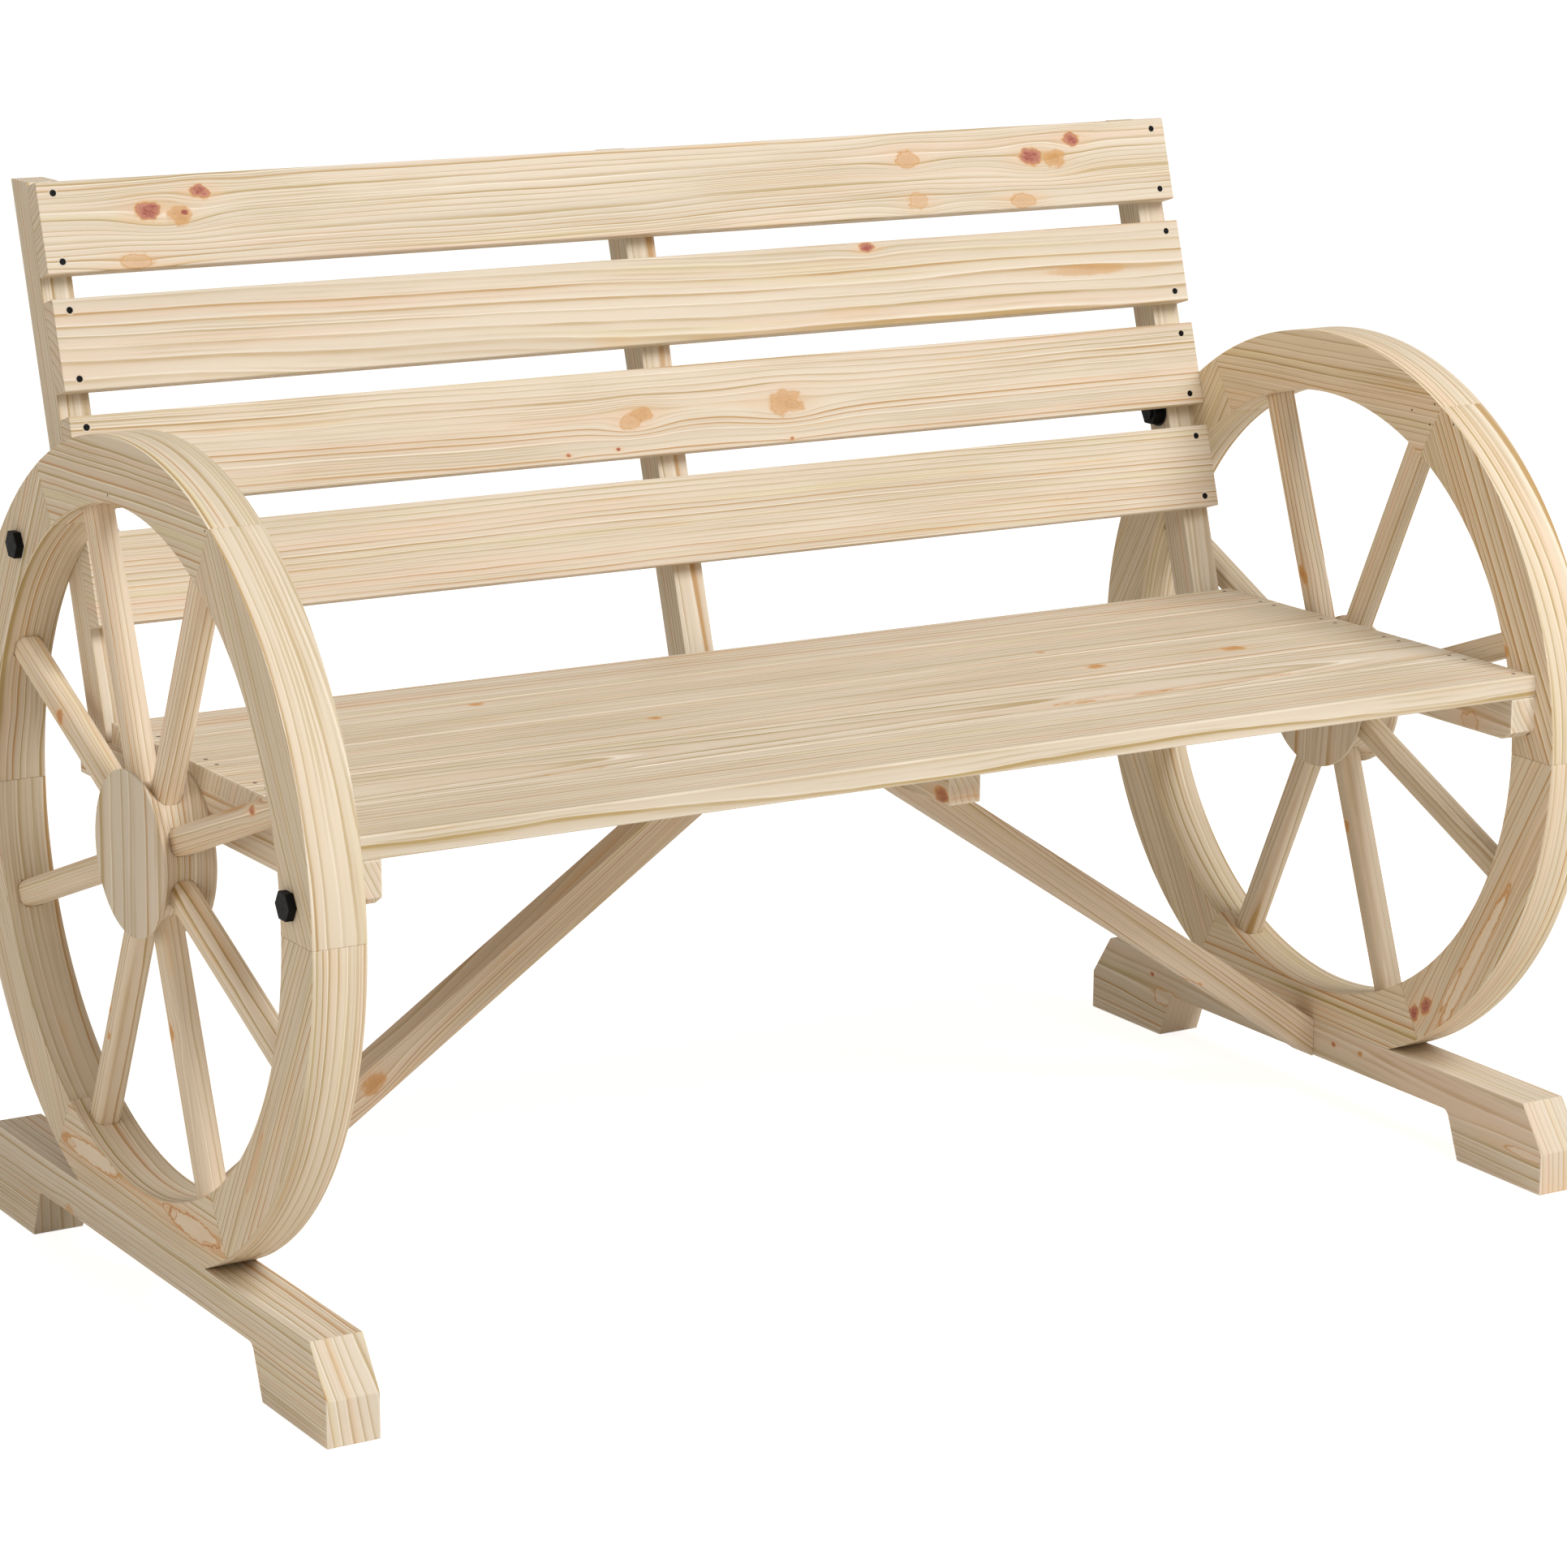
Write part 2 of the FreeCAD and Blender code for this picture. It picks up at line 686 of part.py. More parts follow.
def build():
    fill_sheets()
    rim_bolt = hexagon_bolt("rim_bolt_pattern", "bolt_length")
    coach_screw = hexagon_bolt("coach_screw_pattern", "rim_thickness", "coach_bite")
    nut = hexagon_nut()
    ring = washer()
    spool = hub()
    doc.recompute()

    outer = at("half_length") + at("rim_thickness")
    inner = at("half_length") - at("side_upright_width")
    nut_face = inner - at("washer_thickness")
    rear = [(at(side + "_bolt_y"), at("wheel_height") + at(side + "_bolt_z")) for side in SIDES]
    front = [(at("coach_y"), at("wheel_height") + at("coach_z"))] * len(SIDES)
    group("rear_rim_bolts", rim_bolt, both_sides(outer, rear))
    group("rear_rim_washers", ring, both_sides(inner, rear, outward=False))
    group("rear_rim_nuts", nut, both_sides(nut_face, rear, outward=False))
    group("front_coach_screws", coach_screw, both_sides(outer, front))

    low_faces = (-outer, at("half_length"))
    centres = [FreeCAD.Placement(V(x, 0, at("wheel_height")), FreeCAD.Rotation())
               for x in low_faces]
    group("wheel_hubs", spool, centres)
    for side in SIDES:
        for index in range(int(at("felloe_count"))):
            felloe(side, index)
        for index in range(int(at("spoke_count"))):
            spoke(side, index)
        foot(side)
        brace(side)

    for index in range(int(at("plank_count"))):
        seat_plank(index)
    pilots = {"left": "coach_bite - side_bearer_width / 2", "right": "side_bearer_width / 2"}
    for side, sign in SIDES.items():
        middle = "%d * (half_length - side_bearer_width / 2)" % sign
        seat_bearer("seat_bearer_" + side, middle, "side_bearer_width", "side_bearer_height",
                    "-seat_front", pilots[side])
        post = "%d * (half_length - side_upright_width / 2)" % sign
        back_upright("back_upright_" + side, post, "side_upright_width",
                     side + "_upright_drop", side + "_bolt_rise")
    seat_bearer("seat_bearer_centre", "0", "centre_bearer_width", "centre_bearer_height",
                "centre_bearer_setback - seat_front")
    back_upright("back_upright_centre", "0", "centre_upright_width", "centre_upright_drop")
    for index in range(int(at("slat_count"))):
        back_slat(index)
    doc.recompute()


def check():
    """Stop if a feature failed or a piece is empty or broken."""
    for item in doc.Objects:
        if "Invalid" in item.State or "Error" in item.State:
            raise RuntimeError("%s is %s" % (item.Name, item.State))
    for node in sub_parts:
        if node.Shape.isNull() or not node.Shape.isValid():
            raise RuntimeError("%s has no valid shape" % node.Label)


def write():
    os.makedirs("parts", exist_ok=True)
    for node in sub_parts:
        node.Shape.exportStep("parts/%s.step" % node.Label)
    print(len(sub_parts), "parts written")


build()
check()
write()
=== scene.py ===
import bpy
import math
from mathutils import Matrix, Vector


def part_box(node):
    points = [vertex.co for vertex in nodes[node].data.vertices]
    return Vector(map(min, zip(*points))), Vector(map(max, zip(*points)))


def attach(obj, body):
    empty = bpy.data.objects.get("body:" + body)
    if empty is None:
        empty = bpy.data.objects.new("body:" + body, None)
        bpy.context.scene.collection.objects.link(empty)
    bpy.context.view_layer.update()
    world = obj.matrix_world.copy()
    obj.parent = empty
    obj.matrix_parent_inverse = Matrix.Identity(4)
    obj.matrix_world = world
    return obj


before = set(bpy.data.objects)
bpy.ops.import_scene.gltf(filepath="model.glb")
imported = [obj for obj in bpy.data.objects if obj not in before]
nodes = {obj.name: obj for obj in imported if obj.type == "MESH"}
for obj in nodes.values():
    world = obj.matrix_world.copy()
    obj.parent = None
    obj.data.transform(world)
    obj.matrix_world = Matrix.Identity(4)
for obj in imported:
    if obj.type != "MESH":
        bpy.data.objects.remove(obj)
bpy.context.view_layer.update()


# Feet
# Each wheel stands on a beam of raw sawn fir, arched between two pads and sloped at both ends.
# Its grain runs from front to rear, and screws from below hold it to the rim's lowest felloe.

SAPWOOD = (0.765, 0.675, 0.55, 1)
SAPWOOD_GREY = (0.70, 0.62, 0.50, 1)
SAPWOOD_ROSY = (0.77, 0.62, 0.49, 1)
SAPWOOD_OLIVE = (0.74, 0.665, 0.45, 1)
EARLYWOOD = (0.89, 0.82, 0.71, 1)
LATEWOOD_GOLD = (0.46, 0.34, 0.155, 1)
LATEWOOD_ORANGE = (0.53, 0.33, 0.15, 1)
FLAME = (0.77, 0.53, 0.29, 1)
KNOT_HEART = (0.34, 0.09, 0.07, 1)
KNOT_WOOD = (0.58, 0.29, 0.18, 1)
KNOT_TAN = (0.64, 0.36, 0.14, 1)
KNOT_GOLD = (0.50, 0.225, 0.055, 1)
KNOT_HALO = (0.76, 0.52, 0.34, 1)
PORE = (0.34, 0.20, 0.10, 1)
# Painted highlight and rubbed wear on the arrises
ARRIS_WEAR_AND_HIGHLIGHT = (0.89, 0.81, 0.68, 1)
YEAR_WIDTH = 0.0048
ALONG_X, ALONG_Y, ALONG_Z = Vector((1, 0, 0)), Vector((0, 1, 0)), Vector((0, 0, 1))
SAWN_ARRIS = 0.0007
WOOD_SHINE = 0.3
GRAIN_RELIEF = 0.0005
RELIEF_STRENGTH = 0.35
# How often each pattern changes in a metre: along the grain, across it and through the board
WANDER_SCALE = (1.6, 7, 7)
QUIVER_SCALE = (8, 50, 50)
FAINT_LINE_SCALE = (6, 40, 40)
FIBRE_SCALE = (22, 1300, 1300)
PORE_SCALE = (45, 900, 900)
RAGGED_SCALE = (110, 150, 20)
MOTTLE_SCALE = (420, 620, 60)
FADES_PER_METRE = 4.2
TONES_PER_METRE = 1.9
QUIVER_SIZE = 0.0022
# How far in from an arris the painted highlight and rubbed wear reach, and where they are full
WEAR_AND_HIGHLIGHT_WIDTH = 0.0022
WEAR_AND_HIGHLIGHT_CORE = 0.0006
WELD_REACH = 0.00002
FLAT_WITHIN = math.radians(1)
SHARP_ABOVE = math.radians(32)
FOOT_KNOTS = {"left": [(0.13, 0.006, 0.005, 0.5)],
              "right": [(0.195, 0.001, 0.008, 0.8, 0.1, 0.45), (0.214, 0.017, 0.0018, 0.9),
                        (-0.04, 0.020, 0.0018, 0.9), (-0.075, 0.021, 0.0022, 0.8),
                        (-0.285, -0.006, 0.0035, 0.85, 0.1, 0.12)]}
FOOT_GROWTH = {"left": {"seed": 1.3, "pith": (0.003, 0.20, 0.125), "figure": 2.0, "years": 0.0043},
               "right": {"seed": 2.9, "pith": (0.010, 0.10, 0.20), "figure": 1.1, "years": 0.0050}}


def put(tree, kind, inputs=None, **settings):
    """A new node of a kind, with its settings, and its inputs linked or set."""
    node = tree.nodes.new(kind)
    for key, value in settings.items():
        setattr(node, key, value)
    for place, source in (inputs or {}).items():
        if isinstance(source, bpy.types.NodeSocket):
            tree.links.new(source, node.inputs[place])
        else:
            node.inputs[place].default_value = source
    return node


def calc(tree, operation, *values):
    """One step of arithmetic on numbers or sockets."""
    node = put(tree, "ShaderNodeMath", dict(enumerate(values)), operation=operation)
    return node.outputs[0]


def vector_calc(tree, operation, *values):
    """One step of arithmetic on vectors, which gives a vector or a length."""
    node = put(tree, "ShaderNodeVectorMath", dict(enumerate(values)), operation=operation)
    return node.outputs["Value" if operation == "LENGTH" else "Vector"]


def smooth(tree, value, low, high, start=0.0, end=1.0):
    """The value eased from one range to another and held there."""
    places = {"Value": value, "From Min": low, "From Max": high, "To Min": start, "To Max": end}
    return put(tree, "ShaderNodeMapRange", places, interpolation_type="SMOOTHSTEP").outputs[0]


def noise(tree, vector, stretch, shift, detail=2.0):
    """Soft noise of a scale for each direction, moved on by a shift."""
    scaled = vector_calc(tree, "MULTIPLY", vector, stretch)
    moved = vector_calc(tree, "ADD", scaled, shift)
    places = {"Vector": moved, "Scale": 1.0, "Detail": detail}
    return put(tree, "ShaderNodeTexNoise", places).outputs["Fac"]


def tint(tree, factor, first, second, blend="MIX"):
    """Two colours mixed, the second by the factor."""
    node = put(tree, "ShaderNodeMix", {0: factor, 6: first, 7: second}, data_type="RGBA",
               blend_type=blend)
    return node.outputs[2]


def interface(tree, inputs, outputs):
    """Name a group's sockets, and give its input node's outputs by name."""
    kinds = {"v": "NodeSocketVector", "f": "NodeSocketFloat", "c": "NodeSocketColor",
             "g": "NodeSocketGeometry", "m": "NodeSocketMaterial"}
    for name, kind in inputs.items():
        tree.interface.new_socket(name, in_out="INPUT", socket_type=kinds[kind])
    for name, kind in outputs.items():
        tree.interface.new_socket(name, in_out="OUTPUT", socket_type=kinds[kind])
    return tree.nodes.new("NodeGroupInput").outputs


def knot_tree():
    """A knot: the years part round it, and its own wood is darker, darkest at its rim."""
    tree = bpy.data.node_groups.new("knot", "ShaderNodeTree")
    given = interface(tree, {"Board": "v", "Centre": "v", "Radius": "f", "Reach": "f",
                             "Hue": "f", "Heart": "f", "Stretch": "f", "Parting so far": "f",
                             "Core so far": "f", "Rings so far": "f", "Warmth so far": "f",
                             "Cream so far": "f"},
                      {"Parting": "f", "Core": "f", "Rings": "f", "Warmth": "f", "Cream": "f"})
    offset = vector_calc(tree, "SUBTRACT", given["Board"], given["Centre"])
    oval = put(tree, "ShaderNodeCombineXYZ", {0: given["Stretch"], 1: 1.0, 2: 0.0}).outputs[0]
    near = vector_calc(tree, "LENGTH", vector_calc(tree, "MULTIPLY", offset, oval))
    ragged = noise(tree, given["Board"], RAGGED_SCALE, (3, 1, 4), 4.0)
    ragged = calc(tree, "MULTIPLY", calc(tree, "SUBTRACT", ragged, 0.5), given["Radius"])
    ragged = calc(tree, "MULTIPLY", ragged, calc(tree, "MULTIPLY_ADD", given["Stretch"], 1.0, 0.3))
    near = calc(tree, "MULTIPLY_ADD", ragged, 1.5, near)
    share = calc(tree, "DIVIDE", near, given["Radius"])
    oval = vector_calc(tree, "MULTIPLY", oval, (0.57, 1, 0))
    far = vector_calc(tree, "LENGTH", vector_calc(tree, "MULTIPLY", offset, oval))
    far = calc(tree, "DIVIDE", far, given["Reach"])
    bell = calc(tree, "MULTIPLY", calc(tree, "MULTIPLY", far, far), -1)
    bell = calc(tree, "EXPONENT", bell)
    aside = put(tree, "ShaderNodeSeparateXYZ", {0: offset}).outputs["Y"]
    parting = calc(tree, "MULTIPLY_ADD", given["Radius"], 0.3, calc(tree, "MULTIPLY", aside, -0.6))
    parting = calc(tree, "MULTIPLY_ADD", bell, parting, given["Parting so far"])
    core = smooth(tree, share, 1.25, 0.8)
    cream = calc(tree, "MULTIPLY", calc(tree, "SUBTRACT", 1, given["Heart"]), given["Hue"])
    cream = calc(tree, "MULTIPLY", cream, smooth(tree, share, 0.95, 0.7))
    cream = calc(tree, "MAXIMUM", cream, given["Cream so far"])
    rim = smooth(tree, calc(tree, "ABSOLUTE", calc(tree, "SUBTRACT", share, 0.9)), 0.18, 0.0)
    core = calc(tree, "MULTIPLY", calc(tree, "MAXIMUM", rim, given["Heart"]), core)
    core = calc(tree, "MULTIPLY", core, given["Hue"])
    mottle = noise(tree, given["Board"], MOTTLE_SCALE, (6, 2, 1), 3.0)
    rings = calc(tree, "MULTIPLY", smooth(tree, share, 1.0, 0.35),
                 smooth(tree, mottle, 0.3, 0.7, 0.45, 1.1))
    rings = calc(tree, "MAXIMUM", rings, calc(tree, "MULTIPLY", rim, 0.55))
    rings = calc(tree, "MULTIPLY_ADD", core, rings, given["Rings so far"])
    warmth = calc(tree, "MAXIMUM", calc(tree, "MULTIPLY", bell, given["Hue"]),
                  given["Warmth so far"])
    core = calc(tree, "MAXIMUM", core, given["Core so far"])
    put(tree, "NodeGroupOutput", {"Parting": parting, "Core": core, "Rings": rings,
                                  "Warmth": warmth, "Cream": cream})
    return tree


def fir_tree():
    """Sawn fir in the board's own directions: X along the grain, Z through its face."""
    tree = bpy.data.node_groups.new("sawn fir", "ShaderNodeTree")
    given = interface(tree, {"Board": "v", "Normal": "v", "Half size": "v", "Pith": "v",
                             "Seed": "f", "Year width": "f", "Waviness": "f",
                             "Figure": "f", "Parting": "f", "Core": "f", "Rings": "f",
                             "Warmth": "f", "Cream": "f", "Painted shading": "c"},
                      {"Color": "c", "Roughness": "f", "Height": "f"})
    board = given["Board"]
    shift = vector_calc(tree, "MULTIPLY", given["Seed"], (7.31, 3.17, 5.73))
    apart = put(tree, "ShaderNodeSeparateXYZ", {0: board}).outputs
    pith = put(tree, "ShaderNodeSeparateXYZ", {0: given["Pith"]}).outputs

    # The years are rings about the pith, which wanders, leans and widens along the trunk
    slow = noise(tree, board, WANDER_SCALE, shift)
    slow = calc(tree, "MULTIPLY", calc(tree, "SUBTRACT", slow, 0.5), given["Waviness"])
    quick = noise(tree, board, QUIVER_SCALE, shift, 3.0)
    quick = calc(tree, "MULTIPLY", calc(tree, "SUBTRACT", quick, 0.5), QUIVER_SIZE)
    across = calc(tree, "SUBTRACT", calc(tree, "ADD", apart["Y"], given["Parting"]), pith["Y"])
    through = calc(tree, "SUBTRACT", apart["Z"], pith["Z"])
    radius = calc(tree, "SQRT", calc(tree, "ADD", calc(tree, "MULTIPLY", across, across),
                                     calc(tree, "MULTIPLY", through, through)))
    radius = calc(tree, "MULTIPLY_ADD", apart["X"], pith["X"], radius)
    radius = calc(tree, "ADD", calc(tree, "ADD", radius, slow), quick)
    years = calc(tree, "DIVIDE", radius, given["Year width"])
    uneven = put(tree, "ShaderNodeTexNoise", {"W": calc(tree, "MULTIPLY_ADD", years, 0.4,
                                                        given["Seed"]), "Scale": 1.0,
                                              "Detail": 1.0},
                 noise_dimensions="1D").outputs["Fac"]
    years = calc(tree, "MULTIPLY_ADD", uneven, 1.3, years)
    part = calc(tree, "FRACT", years)
    count = calc(tree, "ADD", calc(tree, "FLOOR", years), given["Seed"])
    chance = put(tree, "ShaderNodeTexWhiteNoise", {"W": count}, noise_dimensions="1D").outputs

    # Each year darkens slowly into a thin latewood line and stops short. The line comes and
    # goes along the board, and between two of them lie fainter ones
    late = calc(tree, "MULTIPLY", smooth(tree, part, 0.35, 0.92), 0.34)
    late = calc(tree, "MULTIPLY_ADD", smooth(tree, part, 0.70, 0.88), 0.66, late)
    late = calc(tree, "MULTIPLY", late, smooth(tree, part, 1.0, 0.95))
    strength = smooth(tree, chance["Value"], 0.0, 1.0, 0.35, 1.0)
    along = calc(tree, "MULTIPLY", apart["X"], FADES_PER_METRE)
    along_year = put(tree, "ShaderNodeCombineXYZ", {0: along,
                                                    1: calc(tree, "MULTIPLY", count, 7.7),
                                                    2: given["Seed"]}).outputs[0]
    band = put(tree, "ShaderNodeTexNoise", {"Vector": along_year, "Scale": 1.0, "Detail": 3.0})
    band = band.outputs["Fac"]
    fade = smooth(tree, band, 0.3, 0.66, 0.45, 1.35)
    grain = calc(tree, "MULTIPLY", calc(tree, "MULTIPLY", late, strength), fade)
    faint = calc(tree, "FRACT", calc(tree, "MULTIPLY", years, 2.6))
    faint = calc(tree, "MULTIPLY", smooth(tree, faint, 0.35, 0.9), smooth(tree, faint, 1, 0.93))
    lasting = noise(tree, board, FAINT_LINE_SCALE, vector_calc(tree, "ADD", shift, (5, 5, 2)))
    faint = calc(tree, "MULTIPLY", faint, smooth(tree, lasting, 0.38, 0.66, 0.0, 0.5))
    grain = calc(tree, "MULTIPLY", calc(tree, "MAXIMUM", grain, faint), given["Figure"])

    # End grain shows every year alike
    facing = put(tree, "ShaderNodeSeparateXYZ", {0: given["Normal"]}).outputs["X"]
    end = smooth(tree, calc(tree, "ABSOLUTE", facing), 0.75, 0.95)
    plain = calc(tree, "MULTIPLY", late, 0.7)
    grain = put(tree, "ShaderNodeMix", {0: end, 2: grain, 3: plain}).outputs[0]

    # Broad tones drift along the years: greyer, rosier or with a green cast
    along = calc(tree, "MULTIPLY", apart["X"], TONES_PER_METRE)
    drift = put(tree, "ShaderNodeCombineXYZ", {0: along, 1: calc(tree, "MULTIPLY", years, 0.31),
                                               2: given["Seed"]}).outputs[0]
    color = tint(tree, smooth(tree, noise(tree, drift, (1, 1, 1), (0, 0, 0), 3.0), 0.34, 0.62),
                 SAPWOOD_GREY, SAPWOOD)
    rosy = noise(tree, drift, (1.2, 1.6, 1), (9, 2, 4))
    color = tint(tree, smooth(tree, rosy, 0.5, 0.72, 0, 0.8), color, SAPWOOD_ROSY)
    olive = noise(tree, drift, (1.3, 2.1, 1), (1, 7, 3))
    color = tint(tree, smooth(tree, olive, 0.56, 0.74, 0, 0.7), color, SAPWOOD_OLIVE)
    flame = noise(tree, along_year, (1.5, 1, 1), (4, 4, 8), 3.0)
    flame = smooth(tree, calc(tree, "MULTIPLY_ADD", given["Warmth"], 0.16, flame),
                   0.60, 0.72, 0, 0.55)
    flame = calc(tree, "MULTIPLY", flame, smooth(tree, part, 0.1, 0.85))
    color = tint(tree, flame, color, FLAME)
    # Painted highlight: a cream line in earlywood colour just after each latewood line, for light
    # caught on the grain's relief
    line_highlight = calc(tree, "MULTIPLY", smooth(tree, part, 0.17, 0.02, 0, 0.9), strength)
    line_highlight = calc(tree, "MULTIPLY", line_highlight, smooth(tree, band, 0.35, 0.6, 0.25, 1.0))
    color = tint(tree, calc(tree, "MULTIPLY", line_highlight, given["Figure"]), color, EARLYWOOD)
    latewood = tint(tree, smooth(tree, chance["Value"], 0.55, 1.0), LATEWOOD_GOLD,
                    LATEWOOD_ORANGE)
    color = tint(tree, calc(tree, "MULTIPLY", grain, 0.85), color, latewood)

    # Fine fibres, and now and then a short dark pore
    fibre = noise(tree, board, FIBRE_SCALE, shift)
    color = tint(tree, smooth(tree, fibre, 0.3, 0.75, 0.0, 0.16), color, PORE, "SOFT_LIGHT")
    pore = noise(tree, board, PORE_SCALE, vector_calc(tree, "ADD", shift, (2, 8, 1)), 1.0)
    pore = smooth(tree, pore, 0.80, 0.84, 0, 0.4)
    color = tint(tree, pore, color, PORE)

    halo = smooth(tree, given["Warmth"], 0.2, 0.95, 0.0, 0.4)
    color = tint(tree, halo, color, KNOT_HALO)
    color = tint(tree, calc(tree, "MULTIPLY", given["Cream"], 0.6), color, EARLYWOOD)
    knot = tint(tree, given["Rings"], KNOT_WOOD, KNOT_HEART)
    golden = tint(tree, given["Rings"], KNOT_TAN, KNOT_GOLD)
    knot = tint(tree, smooth(tree, given["Core"], 0.8, 0.95), golden, knot)
    color = tint(tree, calc(tree, "MULTIPLY", given["Core"], 1.15), color, knot)

    # Arrises are painted a little lighter, as a painted highlight and rubbed wear: the distance to
    # the nearest edge of the board
    inside = vector_calc(tree, "ABSOLUTE", board)
    inside = vector_calc(tree, "SUBTRACT", given["Half size"], inside)
    near = put(tree, "ShaderNodeSeparateXYZ", {0: inside}).outputs
    total = calc(tree, "ADD", calc(tree, "ADD", near["X"], near["Y"]), near["Z"])
    largest = calc(tree, "MAXIMUM", calc(tree, "MAXIMUM", near["X"], near["Y"]), near["Z"])
    edge = calc(tree, "SUBTRACT", total, largest)
    edge = smooth(tree, edge, WEAR_AND_HIGHLIGHT_WIDTH, WEAR_AND_HIGHLIGHT_CORE, 0, 0.4)
    color = tint(tree, edge, color, ARRIS_WEAR_AND_HIGHLIGHT)

    # Painted light and shade: the whole colour is multiplied by the painted shading, lighter or
    # darker for the light that falls on the piece
    color = tint(tree, 1.0, color, given["Painted shading"], "MULTIPLY")
    roughness = calc(tree, "MULTIPLY_ADD", grain, -0.10, 0.66)
    roughness = calc(tree, "MULTIPLY_ADD", end, 0.12, roughness)
    height = calc(tree, "MULTIPLY_ADD", fibre, 0.5, calc(tree, "MULTIPLY", grain, 0.7))
    height = calc(tree, "MULTIPLY_ADD", pore, -1.2, height)
    height = calc(tree, "MULTIPLY_ADD", given["Core"], 0.5, height)
    put(tree, "NodeGroupOutput", {"Color": color, "Roughness": roughness, "Height": height})
    return tree


KNOT_TREE = knot_tree()
FIR_TREE = fir_tree()


def lay(grain, face):
    """The turn of a board whose grain and face point in the given directions."""
    along = Vector(grain).normalized()
    out = Vector(face).normalized()
    return Matrix((along, out.cross(along), out)).transposed().to_euler()


def knot(along, across, radius, hue, heart=1.0, stretch=0.7):
    """What the knot's group takes for one knot of a board."""
    return {"Centre": (along, across, 0), "Radius": radius, "Reach": radius * 1.8, "Hue": hue,
            "Heart": heart, "Stretch": stretch}


def fir(name, centre, turn, seed, half=(1, 1, 1), pith=(0.004, 0.12, 0.06), figure=1.0,
        waviness=0.012, years=YEAR_WIDTH, knots=(), bend=0.0, level_ends=False,
        painted_shading=(1, 1, 1, 1)):
    """A board's own timber, laid along its turn, made lighter or darker by painted shading.

    Its arrises get a painted highlight and rubbed wear where its true half size is given. Knots are
    (along, across, radius, hue, heart, stretch): a heart of 0 leaves a cream island with an outline,
    and a small stretch draws it out along the grain. Where the board is sawn to a curve of radius
    bend, its edges' grain follows the curve and knots stay on its faces. Level ends show the
    years upright on the board's ends.
    """
    material = bpy.data.materials.new(name)
    material.use_nodes = True
    tree = material.node_tree
    shader = tree.nodes["Principled BSDF"]
    shader.inputs["Specular IOR Level"].default_value = WOOD_SHINE
    place = put(tree, "ShaderNodeTexCoord").outputs
    board = put(tree, "ShaderNodeMapping", {"Vector": place["Object"], "Location": centre,
                                            "Rotation": turn}, vector_type="TEXTURE")
    board = board.outputs[0]
    normal = put(tree, "ShaderNodeVectorRotate", {"Vector": place["Normal"],
                                                  "Rotation": turn},
                 rotation_type="EULER_XYZ", invert=True).outputs[0]
    facing = put(tree, "ShaderNodeSeparateXYZ", {0: normal}).outputs
    if bend:
        apart = put(tree, "ShaderNodeSeparateXYZ", {0: board}).outputs
        depth = calc(tree, "SUBTRACT", bend, apart["Y"])
        angle = calc(tree, "ARCTAN2", apart["X"], depth)
        reach = calc(tree, "SQRT", calc(tree, "ADD", calc(tree, "MULTIPLY", depth, depth),
                                        calc(tree, "MULTIPLY", apart["X"], apart["X"])))
        bent = put(tree, "ShaderNodeCombineXYZ", {0: calc(tree, "MULTIPLY", angle, bend),
                                                  1: calc(tree, "SUBTRACT", bend, reach),
                                                  2: apart["Z"]}).outputs[0]
        face = smooth(tree, calc(tree, "ABSOLUTE", facing["Z"]), 0.4, 0.6)
        board = put(tree, "ShaderNodeMix", {0: face, 4: bent, 5: board},
                    data_type="VECTOR").outputs[1]
    if level_ends:
        ends = smooth(tree, calc(tree, "ABSOLUTE", facing["X"]), 0.2, 0.4)
        level = vector_calc(tree, "MULTIPLY", board, (1, 0.1, 1))
        figure = calc(tree, "MULTIPLY_ADD", ends, -0.4 * figure, figure)
        board = put(tree, "ShaderNodeMix", {0: ends, 4: board, 5: level},
                    data_type="VECTOR").outputs[1]
    settings = {"Board": board, "Normal": normal, "Half size": half, "Pith": pith,
                "Seed": seed, "Year width": years, "Waviness": waviness, "Figure": figure,
                "Painted shading": painted_shading}
    sums = ("Parting", "Core", "Rings", "Warmth", "Cream")
    last = None
    for spot in knots:
        inputs = knot(*spot)
        inputs["Board"] = board
        if bend:
            inputs["Hue"] = calc(tree, "MULTIPLY", face, inputs["Hue"])
        if last:
            inputs.update({key + " so far": last.outputs[key] for key in sums})
        last = put(tree, "ShaderNodeGroup", inputs, node_tree=KNOT_TREE)
    if last:
        settings.update({key: last.outputs[key] for key in sums})
    wood = put(tree, "ShaderNodeGroup", settings, node_tree=FIR_TREE)
    tree.links.new(wood.outputs["Color"], shader.inputs["Base Color"])
    tree.links.new(wood.outputs["Roughness"], shader.inputs["Roughness"])
    bump = put(tree, "ShaderNodeBump", {"Strength": RELIEF_STRENGTH, "Distance": GRAIN_RELIEF,
                                        "Height": wood.outputs["Height"]})
    tree.links.new(bump.outputs[0], shader.inputs["Normal"])
    return material


def dress(name, material, arris=SAWN_ARRIS):
    """Give a piece its material, and soften its sawn edges by the arris."""
    piece = nodes[name]
    for number in range(len(piece.data.materials)):
        piece.material_slots[number].material = material
    piece.modifiers.new("joined faces", "WELD").merge_threshold = WELD_REACH
    flat = piece.modifiers.new("whole faces", "DECIMATE")
    flat.decimate_type = "DISSOLVE"
    flat.angle_limit = FLAT_WITHIN
    soft = piece.modifiers.new("soft arrises", "BEVEL")
    soft.width = arris
    soft.segments = 2
    soft.limit_method = "ANGLE"
    soft.angle_limit = SHARP_ABOVE
    soft.harden_normals = True


def middle(name):
    """The middle and half size of a piece's box."""
    low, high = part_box(name)
    return (low + high) / 2, (high - low) / 2


for side in ("left", "right"):
    centre, half = middle(side + "_foot")
    timber = fir(side + " foot fir", centre, lay(ALONG_Y, ALONG_X),
                 half=(half.y, half.z, half.x), knots=FOOT_KNOTS[side], level_ends=True,
                 **FOOT_GROWTH[side])
    dress(side + "_foot", timber)


# Wheel rims
# Six fir felloes a wheel, sawn from flat boards so that each one's grain follows its chord,
# and glued end to end at their mitres. The lowest is cut flat to sit on the foot.

